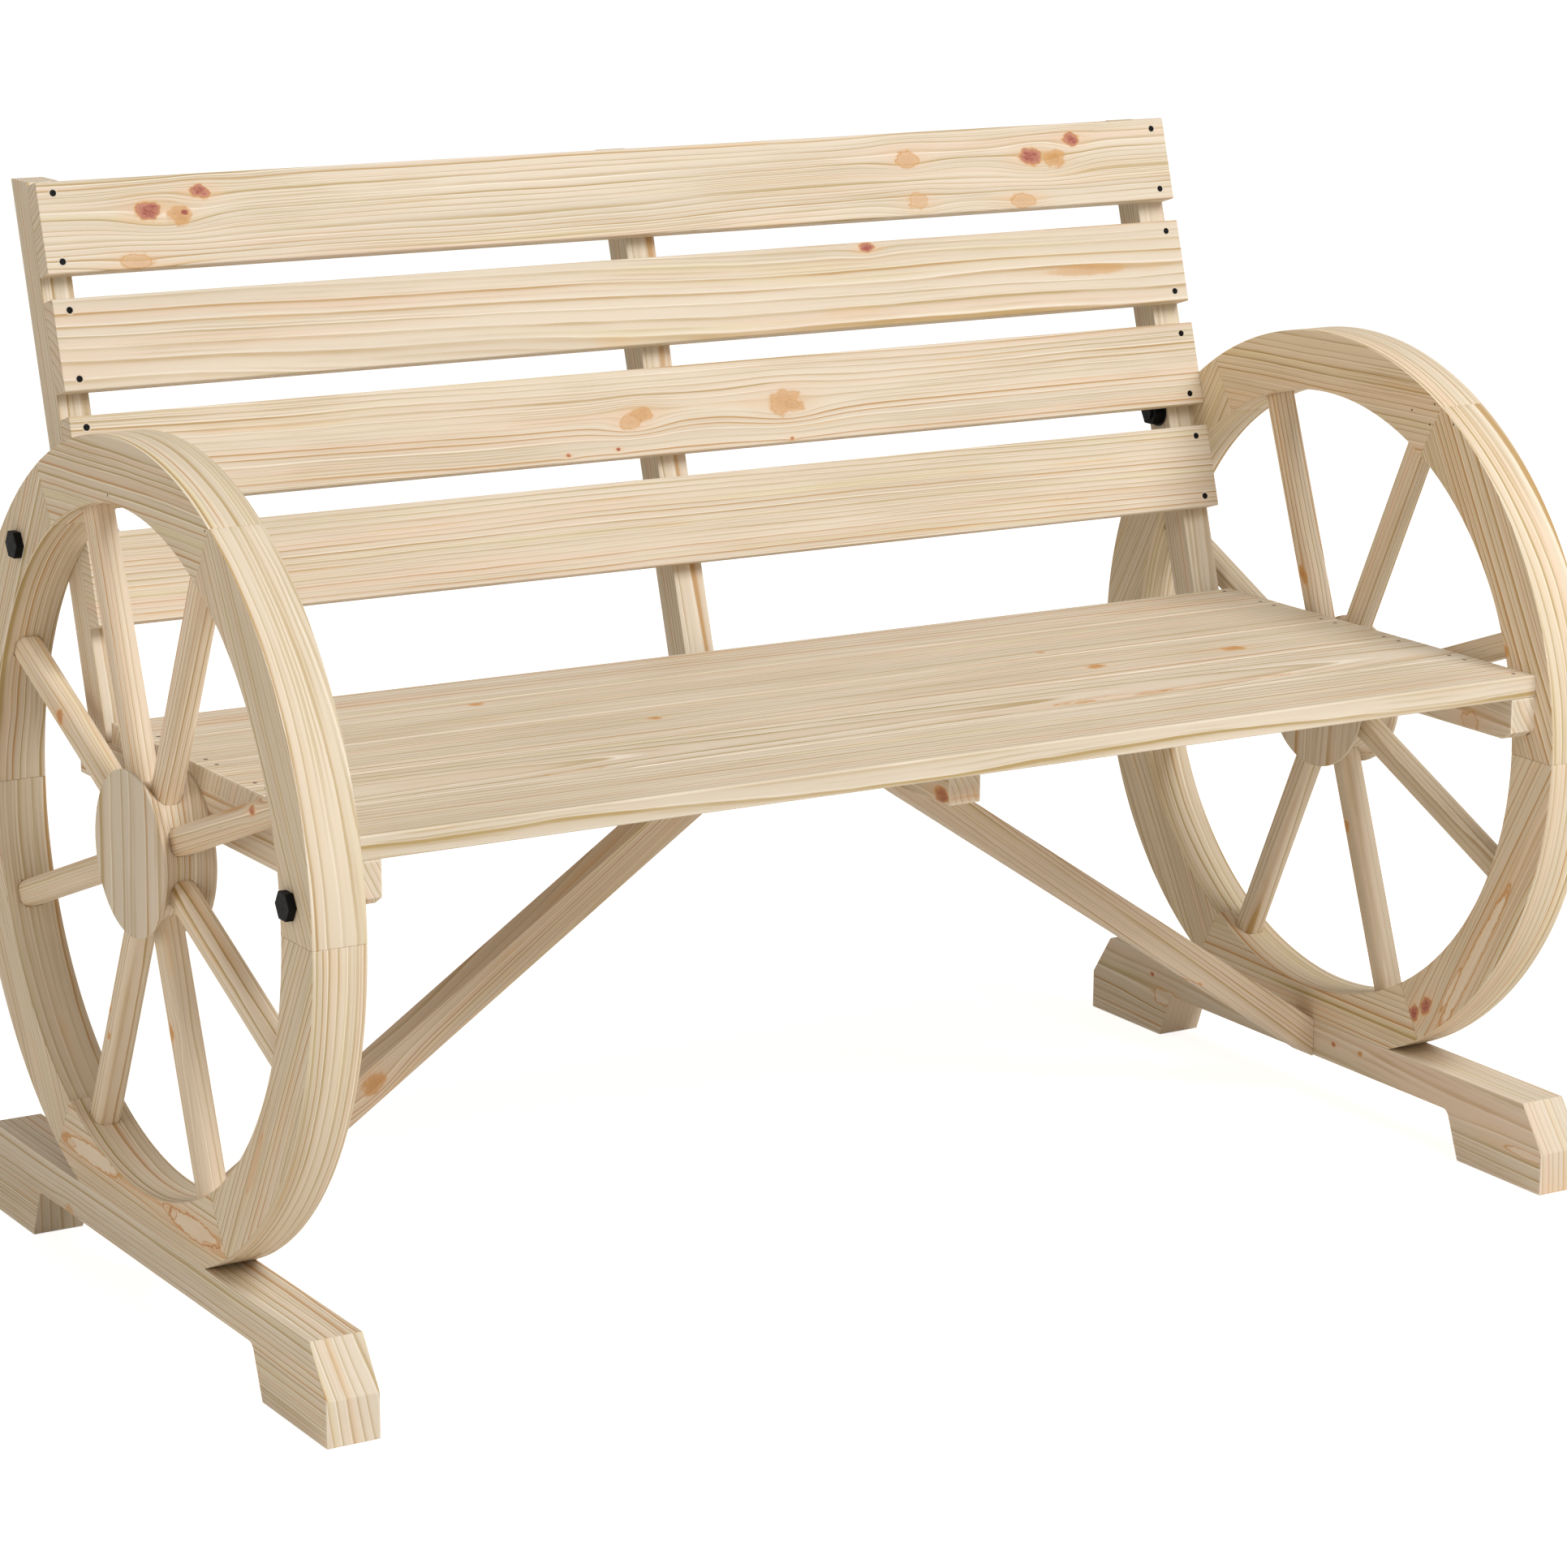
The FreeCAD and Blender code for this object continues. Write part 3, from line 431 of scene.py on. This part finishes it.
SIDES = (("left", -1), ("right", 1))
FELLOE_COUNT = 6
hub_low, hub_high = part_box("wheel_hubs")
AXLE = Vector((0, 0, (hub_low.z + hub_high.z) / 2))
RIM_HALF = middle("left_felloe_1")[1].x
RIM_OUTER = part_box("left_felloe_2")[1].z - AXLE.z
RIM_X = {"left": -hub_high.x + RIM_HALF, "right": hub_high.x - RIM_HALF}
FELLOE_MIDDLE = RIM_OUTER * 0.86
FELLOE_SEED, FELLOE_SEED_STEP, RIM_SEED_STEP = 4.7, 1.9, 3.1
FELLOE_GROWTH = {"figure": 1.6, "waviness": 0.016, "years": 0.0044, "bend": FELLOE_MIDDLE}
FELLOE_KNOTS = {
    ("left", 5): [(0.085, 0.008, 0.008, 0.9, 0.0, 0.14), (0.128, 0.007, 0.003, 0.8, 0.3, 0.2),
                  (0.000, 0.006, 0.002, 0.8, 0.6, 0.05), (-0.092, 0.005, 0.009, 1.0, 0.1, 0.2),
                  (-0.055, 0.006, 0.005, 1.0, 0.25, 0.4), (-0.128, 0.000, 0.003, 0.9, 0.6, 0.15)],
    ("left", 4): [(-0.02, 0.012, 0.0025, 0.9), (0.05, -0.004, 0.003, 0.7, 0.5, 0.1)],
    ("left", 1): [(-0.08, -0.004, 0.005, 0.9, 0.6)],
    ("right", 4): [(0.132, 0.013, 0.0055, 1.0), (0.117, 0.006, 0.0055, 1.0),
                   (0.045, -0.017, 0.0065, 0.9, 0.0, 0.075), (0.085, -0.010, 0.003, 0.9, 0.0, 0.12)],
    ("right", 3): [(0.05, 0.010, 0.0035, 0.75)],
}
FELLOE_PITHS = ((0.008, -0.09, 0.06), (0.008, 0.09, 0.06))
# Painted light: each wheel's felloes are made lighter and warmer, the right wheel's more, for the
# light that falls on them
FELLOE_PAINTED_SHADING = {"left": (1.02, 1.0, 0.96, 1), "right": (1.06, 1.03, 0.97, 1)}


def around(degrees):
    """The direction from the axle at an angle from the rear, turning upwards."""
    turn = math.radians(degrees)
    return Vector((0, math.cos(turn), math.sin(turn)))


for side, sign in SIDES:
    for number in range(1, FELLOE_COUNT + 1):
        name = "%s_felloe_%d" % (side, number)
        mid_angle = 360 / FELLOE_COUNT * (number - 0.5)
        out = around(mid_angle)
        centre = AXLE + out * FELLOE_MIDDLE + ALONG_X * RIM_X[side]
        seed = FELLOE_SEED + number * FELLOE_SEED_STEP + sign * RIM_SEED_STEP
        pith = FELLOE_PITHS[number % 2]
        timber = fir(name + " fir", centre, lay(around(mid_angle + 90), ALONG_X), seed,
                     pith=pith, knots=FELLOE_KNOTS.get((side, number), ()),
                     painted_shading=FELLOE_PAINTED_SHADING[side], **FELLOE_GROWTH)
        dress(name, timber)


# Spokes
# Eight bars of fir a wheel, sawn square, with their arrises taken off. Each is glued into a
# socket of the hub at one end and of the rim at the other.

SPOKE_COUNT = 8
SPOKE_TURN = 25.1
SPOKE_KNOTS = {
    ("left", 0): [(0.011, 0.002, 0.0045, 0.85)],
    ("left", 3): [(0.05, -0.003, 0.0035, 0.9)],
    ("left", 5): [(-0.019, 0.002, 0.004, 0.8)],
    ("left", 6): [(0.0, 0.004, 0.0018, 0.8), (0.02, -0.002, 0.0018, 0.8)],
    ("right", 1): [(-0.05, 0.0, 0.005, 0.8)],
    ("right", 5): [(-0.036, 0.003, 0.0035, 0.8)],
}
SPOKE_ARRIS = 0.0018
SPOKE_SEED, SPOKE_SEED_STEP, WHEEL_SEED_STEP = 31.7, 2.3, 9.1
SPOKE_PITH, SPOKE_PITH_STEP = Vector((0.006, 0.07, 0.09)), Vector((0, 0.015, 0))
SPOKE_GROWTH = {"figure": 1.4, "waviness": 0.010, "years": 0.0033}
# Painted light: the spokes are made lighter, the left wheel's most, for the light that falls on them
SPOKE_PAINTED_SHADING = {"left": (1.14, 1.11, 1.08, 1), "right": (1.05, 1.03, 1.0, 1)}
for side, sign in SIDES:
    for number in range(SPOKE_COUNT):
        name = "%s_spoke_%d" % (side, number + 1)
        direction = around(SPOKE_TURN + 360 / SPOKE_COUNT * number)
        centre = AXLE + direction * RIM_OUTER / 2 + ALONG_X * RIM_X[side]
        seed = SPOKE_SEED + number * SPOKE_SEED_STEP + sign * WHEEL_SEED_STEP
        timber = fir(name + " fir", centre, lay(direction, ALONG_X), seed,
                     pith=SPOKE_PITH + SPOKE_PITH_STEP * number,
                     knots=SPOKE_KNOTS.get((side, number), ()), painted_shading=SPOKE_PAINTED_SHADING[side],
                     **SPOKE_GROWTH)
        dress(name, timber, SPOKE_ARRIS)


# Hubs
# A spool of fir for each wheel, turned with its grain upright and waisted between two flat
# faces that are flush with the rim's. Its waist is bored for the eight spokes that hold it.

HUB_ARRIS = 0.0005
HUB_GROWTH = {"seed": 17.3, "pith": (0.02, 0.16, 0.05), "figure": 1.35, "waviness": 0.016,
              "years": 0.005}
timber = fir("hub fir", AXLE, lay(ALONG_Z, ALONG_X), **HUB_GROWTH)
dress("wheel_hubs", timber, HUB_ARRIS)


# Seat
# Five planed fir planks laid close from wheel to wheel, and nailed down on bearers of sawn fir
# that run from front to rear. A coach screw through each wheel holds an outer bearer.

PLANED_ARRIS = 0.0004
PLANK_COUNT = 5
PLANK_SEED, PLANK_SEED_STEP = 51.1, 4.3
PLANK_GROWTH = {"figure": 1.5, "waviness": 0.014, "years": 0.0055}
PLANK_KNOTS = {
    2: [(-0.284, -0.030, 0.004, 0.6, 0.2, 0.15), (0.175, -0.024, 0.006, 0.8, 0.15, 0.11),
        (0.280, -0.023, 0.005, 0.8, 0.1, 0.08), (0.150, -0.025, 0.003, 0.8, 0.8, 0.3),
        (0.205, -0.024, 0.002, 0.8, 0.8, 0.2)],
    3: [(-0.153, 0.005, 0.004, 0.8), (0.228, -0.008, 0.006, 0.8), (0.359, -0.007, 0.007, 0.8)],
    4: [(-0.244, 0.030, 0.004, 0.8), (0.220, -0.026, 0.003, 0.6)],
}
PLANK_PITHS = {1: (0.003, 0.09, -0.05), 2: (0.016, -0.008, -0.03), 3: (0.003, -0.13, -0.06),
               4: (0.004, 0.12, -0.05), 5: (0.004, -0.10, -0.05)}
for number in range(1, PLANK_COUNT + 1):
    name = "seat_plank_%d" % number
    centre, half = middle(name)
    timber = fir(name + " fir", centre, lay(ALONG_X, ALONG_Z),
                 PLANK_SEED + number * PLANK_SEED_STEP, half=half, pith=PLANK_PITHS[number],
                 knots=PLANK_KNOTS.get(number, ()), **PLANK_GROWTH)
    dress(name, timber, PLANED_ARRIS)
BEARER_SEED, BEARER_SEED_STEP = 71.9, 5.7
BEARER_GROWTH = {"pith": (0.004, 0.06, 0.11), "figure": 1.25}
BEARER_KNOTS = {"seat_bearer_right": [(-0.178, -0.010, 0.008, 0.8, 0.35)],
                "seat_bearer_centre": [(-0.201, -0.008, 0.006, 0.9)],
                "seat_bearer_left": [(0.05, 0.004, 0.004, 0.7)]}
for number, name in enumerate(("seat_bearer_left", "seat_bearer_centre", "seat_bearer_right")):
    centre, half = middle(name)
    timber = fir(name + " fir", centre, lay(ALONG_Y, ALONG_X),
                 BEARER_SEED + number * BEARER_SEED_STEP, half=(half.y, half.z, half.x),
                 knots=BEARER_KNOTS.get(name, ()), **BEARER_GROWTH)
    dress(name, timber)


# Backrest
# Three posts of sawn fir stand on the seat's bearers, lean back and carry four planed slats.
# Screws from the front hold the slats on the outer posts, which are bolted to the rims.

SLAT_COUNT = 4
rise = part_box("back_slat_4")[0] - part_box("back_slat_1")[0]
LEAN = math.atan2(rise.y, rise.z)
UP_SLOPE = Vector((0, math.sin(LEAN), math.cos(LEAN)))
BACKWARDS = Vector((0, math.cos(LEAN), -math.sin(LEAN)))
SLAT_KNOTS = {
    2: [(-0.030, -0.001, 0.006, 0.8, 0.8), (-0.041, -0.007, 0.006, 0.75, 0.7),
        (0.100, -0.002, 0.010, 0.75, 0.8), (0.106, -0.004, 0.004, 0.9, 0.5),
        (-0.099, -0.028, 0.0016, 0.9), (-0.055, -0.027, 0.0014, 1.0),
        (0.101, -0.031, 0.0016, 0.9)],
    3: [(0.1945, 0.0295, 0.0042, 0.95), (0.405, -0.002, 0.0045, 0.45, 1.0, 0.12)],
    4: [(-0.415, 0.008, 0.0072, 1.0), (-0.373, 0.020, 0.0055, 1.0),
        (-0.391, 0.004, 0.007, 0.7), (-0.3866, 0.0053, 0.0020, 1.0),
        (-0.430, -0.028, 0.006, 0.8, 0.6, 0.5),
        (0.364, 0.008, 0.0072, 1.0), (0.406, 0.020, 0.0055, 1.0),
        (0.387, 0.006, 0.007, 0.7), (0.351, -0.027, 0.006, 0.8, 0.6, 0.5),
        (0.245, 0.012, 0.007, 0.9, 0.6), (0.250, -0.022, 0.007, 0.75, 0.6)],
}
SLAT_SEED, SLAT_SEED_STEP = 83.3, 6.1
SLAT_GROWTH = {
    1: {"pith": (0.003, -0.17, -0.06), "figure": 1.1, "waviness": 0.012, "years": 0.0042},
    2: {"pith": (0.005, -0.14, -0.05), "figure": 1.4, "waviness": 0.020, "years": 0.0047},
    3: {"pith": (0.010, -0.055, -0.045), "figure": 1.0, "waviness": 0.016, "years": 0.0066},
    4: {"pith": (0.004, 0.15, -0.06), "figure": 1.6, "waviness": 0.020, "years": 0.0045},
}
for number in range(1, SLAT_COUNT + 1):
    name = "back_slat_%d" % number
    timber = fir(name + " fir", middle(name)[0], lay(ALONG_X, -BACKWARDS),
                 SLAT_SEED + number * SLAT_SEED_STEP, knots=SLAT_KNOTS.get(number, ()),
                 **SLAT_GROWTH[number])
    dress(name, timber, PLANED_ARRIS)
POST_SEED, POST_SEED_STEP = 97.7, 3.7
POST_GROWTH = {"pith": (0.004, 0.11, 0.03), "figure": 1.3, "waviness": 0.008, "years": 0.0036}
for number, name in enumerate(("back_upright_left", "back_upright_centre",
                               "back_upright_right")):
    timber = fir(name + " fir", middle(name)[0], lay(UP_SLOPE, ALONG_X),
                 POST_SEED + number * POST_SEED_STEP, **POST_GROWTH)
    dress(name, timber)


# Braces
# Two struts of sawn fir, their grain along the slope, which keep the feet from spreading.
# Each is cut to sit on its foot and under the middle bearer, and hidden screws hold its ends.

BRACE_SEED, BRACE_SEED_STEP = 111.1, 2.9
BRACE_KNOTS = {"left": [(0.122, 0.008, 0.007, 0.7)], "right": [(0.16, 0.006, 0.002, 0.7)]}
# Painted shade: the braces are made a little darker and warmer, for the shade under the seat
BRACE_GROWTH = {"pith": (0.003, 0.13, 0.03), "figure": 1.3, "waviness": 0.008, "years": 0.004,
                "painted_shading": (0.98, 0.93, 0.90, 1)}
for side, sign in SIDES:
    name = "brace_" + side
    centre, half = middle(name)
    slope = Vector((half.x * sign, 0, -half.z)).normalized()
    timber = fir(name + " fir", centre, lay(slope, ALONG_Y),
                 BRACE_SEED + sign * BRACE_SEED_STEP, knots=BRACE_KNOTS[side], **BRACE_GROWTH)
    dress(name, timber)


# Bolts and coach screws
# Blackened steel with hexagon heads: a bolt through each rim and post at the rear with its
# washer and nut inside, and a coach screw through each rim into the bearer at the front.

STEEL_BLACK = (0.0012, 0.0012, 0.0013, 1)
STEEL_WORN = (0.006, 0.0055, 0.005, 1)
STEEL_SHINE = 0.12
STEEL_PITS = (420, 420, 420)
STEEL_RELIEF = 0.0002
STEEL_ARRIS = 0.0006
steel = bpy.data.materials.new("blackened steel")
steel.use_nodes = True
tree = steel.node_tree
shader = tree.nodes["Principled BSDF"]
shader.inputs["Specular IOR Level"].default_value = STEEL_SHINE
place = put(tree, "ShaderNodeTexCoord").outputs["Object"]
worn = noise(tree, place, STEEL_PITS, (0, 0, 0), 3.0)
color = tint(tree, smooth(tree, worn, 0.62, 0.8), STEEL_BLACK, STEEL_WORN)
tree.links.new(color, shader.inputs["Base Color"])
tree.links.new(smooth(tree, worn, 0.3, 0.7, 0.55, 0.72), shader.inputs["Roughness"])
bump = put(tree, "ShaderNodeBump", {"Strength": 0.2, "Distance": STEEL_RELIEF, "Height": worn})
tree.links.new(bump.outputs[0], shader.inputs["Normal"])
for name in ("rear_rim_bolts", "rear_rim_nuts", "rear_rim_washers", "front_coach_screws"):
    dress(name, steel, STEEL_ARRIS)


# Slat screws
# Black steel screws, two through each end of a slat into the outer posts, driven in until the
# round heads are nearly flush. A thin pale raised ring about each head is a painted highlight.

SCREW_INSET = 0.0085
SCREW_RADIUS = 0.0029
SCREW_PROUD = 0.0005
# The painted highlight ring round each screw head: its reach beyond the head and its thickness
HIGHLIGHT_RING_REACH = 0.0004
HIGHLIGHT_RING_THICKNESS = 0.0005
HIGHLIGHT_RING_GROWTH = {"seed": 5.5, "figure": 0.2}
HEAD_SIDES = 24
BEVEL_STEPS = 3
HEAD_TOP_SHARE = 0.82
HEAD_DEPTH_SHARE = 0.5
RING_SIDES = 8
RING_FLATNESS = 0.6
TURN_SEED = 7


def set_on_places(tree, given, head):
    """Put a head on every place, facing outwards, each turned a little otherwise."""
    facing = put(tree, "FunctionNodeAlignRotationToVector", {"Vector": given["Facing"]}, axis="Z")
    turn = put(tree, "FunctionNodeRandomValue", {2: 0.0, 3: math.pi / 2, "Seed": TURN_SEED})
    spin = put(tree, "FunctionNodeAxisAngleToRotation", {"Axis": (0, 0, 1),
                                                         "Angle": turn.outputs[1]})
    facing = put(tree, "FunctionNodeRotateRotation", {"Rotation": facing.outputs[0],
                                                      "Rotate By": spin.outputs[0]},
                 rotation_space="LOCAL")
    heads = put(tree, "GeometryNodeInstanceOnPoints", {"Points": given["Places"],
                                                       "Instance": head,
                                                       "Rotation": facing.outputs[0]})
    heads = put(tree, "GeometryNodeRealizeInstances", {0: heads.outputs[0]})
    heads = put(tree, "GeometryNodeSetMaterial", {"Geometry": heads.outputs[0],
                                                  "Material": given["Finish"]})
    put(tree, "NodeGroupOutput", {0: heads.outputs[0]})


def head_tree():
    """A round head with a bevelled edge, which stands proud by a given height."""
    tree = bpy.data.node_groups.new("round heads", "GeometryNodeTree")
    given = interface(tree, {"Places": "g", "Facing": "v", "Radius": "f", "Proud": "f",
                             "Finish": "m"}, {"Heads": "g"})
    depth = calc(tree, "MULTIPLY", given["Radius"], HEAD_DEPTH_SHARE)
    top = calc(tree, "MULTIPLY", given["Radius"], HEAD_TOP_SHARE)
    cone = put(tree, "GeometryNodeMeshCone", {"Vertices": HEAD_SIDES,
                                              "Side Segments": BEVEL_STEPS,
                                              "Radius Top": top,
                                              "Radius Bottom": given["Radius"],
                                              "Depth": depth})
    sunk = put(tree, "ShaderNodeCombineXYZ", {"Z": calc(tree, "SUBTRACT", given["Proud"], depth)})
    head = put(tree, "GeometryNodeTransform", {"Geometry": cone.outputs[0],
                                               "Translation": sunk.outputs[0]})
    set_on_places(tree, given, head.outputs[0])
    return tree


def rim_tree():
    """A flattened pale ring about each head, a painted highlight."""
    tree = bpy.data.node_groups.new("highlight rings", "GeometryNodeTree")
    given = interface(tree, {"Places": "g", "Facing": "v", "Radius": "f", "Thickness": "f",
                             "Finish": "m"}, {"Heads": "g"})
    path = put(tree, "GeometryNodeCurvePrimitiveCircle", {"Resolution": HEAD_SIDES,
                                                          "Radius": given["Radius"]})
    section = put(tree, "GeometryNodeCurvePrimitiveCircle", {"Resolution": RING_SIDES,
                                                             "Radius": given["Thickness"]})
    ring = put(tree, "GeometryNodeCurveToMesh", {"Curve": path.outputs[0],
                                                 "Profile Curve": section.outputs[0]})
    ring = put(tree, "GeometryNodeTransform", {"Geometry": ring.outputs[0],
                                               "Scale": (1, 1, RING_FLATNESS)})
    set_on_places(tree, given, ring.outputs[0])
    return tree


def drive(name, tree, places, sizes):
    """Run a tree on its places, keep the result as a plain mesh and fix it to the bench."""
    points = bpy.data.meshes.new(name + " places")
    points.from_pydata(places, [], [])
    piece = bpy.data.objects.new(name, points)
    bpy.context.collection.objects.link(piece)
    heads = piece.modifiers.new("heads", "NODES")
    heads.node_group = tree
    for item in tree.interface.items_tree:
        if item.in_out == "INPUT" and item.name in sizes:
            heads[item.identifier] = sizes[item.name]
    graph = bpy.context.evaluated_depsgraph_get()
    mesh = bpy.data.meshes.new_from_object(piece.evaluated_get(graph))
    piece.modifiers.remove(heads)
    piece.data = mesh
    mesh.name = name
    bpy.data.meshes.remove(points)
    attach(piece, "root")


def slat_sizes(name):
    """A leaning slat's own width and thickness, from the box that holds it."""
    low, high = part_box(name)
    tall, deep = high.z - low.z, high.y - low.y
    width = (tall * math.cos(LEAN) - deep * math.sin(LEAN)) / math.cos(2 * LEAN)
    thickness = (deep * math.cos(LEAN) - tall * math.sin(LEAN)) / math.cos(2 * LEAN)
    return width, thickness


places = []
for number in range(1, SLAT_COUNT + 1):
    centre = middle("back_slat_%d" % number)[0]
    width, thickness = slat_sizes("back_slat_%d" % number)
    for post in ("back_upright_left", "back_upright_right"):
        for reach in (width / 2 - SCREW_INSET, SCREW_INSET - width / 2):
            place = centre + UP_SLOPE * reach - BACKWARDS * thickness / 2
            places.append((middle(post)[0].x, place.y, place.z))
heads = head_tree()
drive("slat_screws", heads, places,
      {"Facing": -BACKWARDS, "Radius": SCREW_RADIUS, "Proud": SCREW_PROUD, "Finish": steel})
# Painted highlight: a pale wooden ring round each screw head
highlight_ring_wood = fir("highlight ring fir", (0, 0, 0), lay(ALONG_X, -BACKWARDS), **HIGHLIGHT_RING_GROWTH)
drive("slat_screw_highlight_rings", rim_tree(), places,
      {"Facing": -BACKWARDS, "Radius": SCREW_RADIUS + HIGHLIGHT_RING_REACH,
       "Thickness": HIGHLIGHT_RING_THICKNESS, "Finish": highlight_ring_wood})


# Seat nails and rim brads
# Plain steel wire nails, dulled brown: two through each end of a plank into the outer bearers,
# and small brads driven in beside the mitres on the left side of each rim, near its top.

NAIL_RADIUS = 0.002
BRAD_RADIUS = 0.0011
NAIL_PROUD = 0.0001
NAIL_INSET = 0.009
FRONT_NAIL_INSET = 0.013
BRAD_PLACES = {
    "left": [(-0.1419, 0.5938), (0.0198, 0.5927)],
    "right": [(-0.1387, 0.5969), (-0.1338, 0.5803), (-0.1622, 0.5843), (-0.1113, 0.5886)],
}
NAIL_BROWN = (0.10, 0.075, 0.055, 1)
NAIL_RUST = (0.20, 0.12, 0.075, 1)
NAIL_METAL = 0.6
RUST_SPOTS = (900, 900, 900)
dull = bpy.data.materials.new("dull nail")
dull.use_nodes = True
tree = dull.node_tree
shader = tree.nodes["Principled BSDF"]
shader.inputs["Metallic"].default_value = NAIL_METAL
place = put(tree, "ShaderNodeTexCoord").outputs["Object"]
rust = noise(tree, place, RUST_SPOTS, (1, 2, 3), 3.0)
color = tint(tree, smooth(tree, rust, 0.35, 0.65), NAIL_BROWN, NAIL_RUST)
tree.links.new(color, shader.inputs["Base Color"])
tree.links.new(smooth(tree, rust, 0.3, 0.7, 0.5, 0.75), shader.inputs["Roughness"])
places = []
for number in range(1, PLANK_COUNT + 1):
    low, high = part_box("seat_plank_%d" % number)
    front = FRONT_NAIL_INSET if number == 1 else NAIL_INSET
    for bearer in ("seat_bearer_left", "seat_bearer_right"):
        for y in (low.y + front, high.y - NAIL_INSET):
            places.append((middle(bearer)[0].x, y, high.z))
drive("seat_nails", heads, places,
      {"Facing": ALONG_Z, "Radius": NAIL_RADIUS, "Proud": NAIL_PROUD, "Finish": dull})
for side, spots in BRAD_PLACES.items():
    face = RIM_X[side] - RIM_HALF
    drive(side + "_rim_brads", heads, [(face, y, z) for y, z in spots],
          {"Facing": -ALONG_X, "Radius": BRAD_RADIUS, "Proud": NAIL_PROUD, "Finish": dull})


# Studio
# A plain pale floor and a white background under two round softboxes and a faint warm sky.
# The floor glows only where it is seen directly or mirrored, and still shows the shadow.

FLOOR_REACH = 40
FLOOR_LEVEL = -0.0003
FLOOR_PAINT = (0.88, 0.85, 0.80, 1)
FLOOR_GLOW = (0.97, 0.985, 1, 1)
FLOOR_GLOW_STRENGTH = 0.77
SKY = (1, 0.925, 0.835, 1)
SKY_STRENGTH = 0.335
WHITE = (1, 1, 1, 1)
BENCH_MIDDLE = Vector((0, 0, 0.4))


def seen_directly(tree):
    """1 for what the camera sees itself, in a reflection or through glass."""
    ray = put(tree, "ShaderNodeLightPath").outputs
    seen = calc(tree, "MAXIMUM", ray["Is Camera Ray"], ray["Is Glossy Ray"])
    return calc(tree, "MAXIMUM", seen, ray["Is Transmission Ray"])


def softbox(name, place, width, power, color):
    """A round soft lamp that looks at the bench."""
    light = bpy.data.lights.new(name, "AREA")
    light.shape = "DISK"
    light.size = width
    light.energy = power
    light.color = color
    lamp = bpy.data.objects.new(name, light)
    lamp.location = place
    lamp.rotation_euler = (BENCH_MIDDLE - place).to_track_quat("-Z", "Y").to_euler()
    bpy.context.collection.objects.link(lamp)


mesh = bpy.data.meshes.new("floor")
corners = [(x * FLOOR_REACH, y * FLOOR_REACH, FLOOR_LEVEL)
           for x, y in ((-1, -1), (1, -1), (1, 1), (-1, 1))]
mesh.from_pydata(corners, [], [(0, 1, 2, 3)])
floor = bpy.data.objects.new("floor", mesh)
bpy.context.collection.objects.link(floor)
paint = bpy.data.materials.new("pale floor")
paint.use_nodes = True
tree = paint.node_tree
tree.nodes.clear()
matt = put(tree, "ShaderNodeBsdfDiffuse", {"Color": FLOOR_PAINT})
strength = calc(tree, "MULTIPLY", seen_directly(tree), FLOOR_GLOW_STRENGTH)
glow = put(tree, "ShaderNodeEmission", {"Color": FLOOR_GLOW, "Strength": strength})
both = put(tree, "ShaderNodeAddShader", {0: matt.outputs[0], 1: glow.outputs[0]})
put(tree, "ShaderNodeOutputMaterial", {"Surface": both.outputs[0]})
mesh.materials.append(paint)

world = bpy.data.worlds.new("studio")
bpy.context.scene.world = world
world.use_nodes = True
tree = world.node_tree
tree.nodes.clear()
sky = put(tree, "ShaderNodeBackground", {"Color": SKY, "Strength": SKY_STRENGTH})
white = put(tree, "ShaderNodeBackground", {"Color": WHITE, "Strength": 1.0})
both = put(tree, "ShaderNodeMixShader", {0: seen_directly(tree), 1: sky.outputs[0],
                                         2: white.outputs[0]})
put(tree, "ShaderNodeOutputWorld", {"Surface": both.outputs[0]})

softbox("key softbox", place=Vector((0.9, -3.3, 3.7)), width=2.4, power=172,
        color=(0.99, 0.99, 1))
softbox("fill softbox", place=Vector((-4.0, -0.3, 1.9)), width=2.6, power=26,
        color=(1, 0.93, 0.84))


# Camera
# It stands where the photograph was taken from, before the bench's left front corner and
# higher than its back, and looks a little down on it through a long lens.

CAMERA_LENS = 108.1
CAMERA_PLACE = Vector((-1.8066, -2.9652, 1.1682))
CAMERA_TURN = 0.5462
CAMERA_TILT = -0.2380
CAMERA_ROLL = 0.0051
eye = bpy.data.cameras.new("camera")
eye.lens = CAMERA_LENS
camera = bpy.data.objects.new("camera", eye)
aim = (Matrix.Rotation(-CAMERA_TURN, 4, "Z") @ Matrix.Rotation(math.pi / 2 + CAMERA_TILT, 4, "X")
       @ Matrix.Rotation(CAMERA_ROLL, 4, "Z"))
camera.matrix_world = Matrix.Translation(CAMERA_PLACE) @ aim
bpy.context.collection.objects.link(camera)
bpy.context.scene.camera = camera
bpy.context.scene.view_settings.view_transform = "Standard"
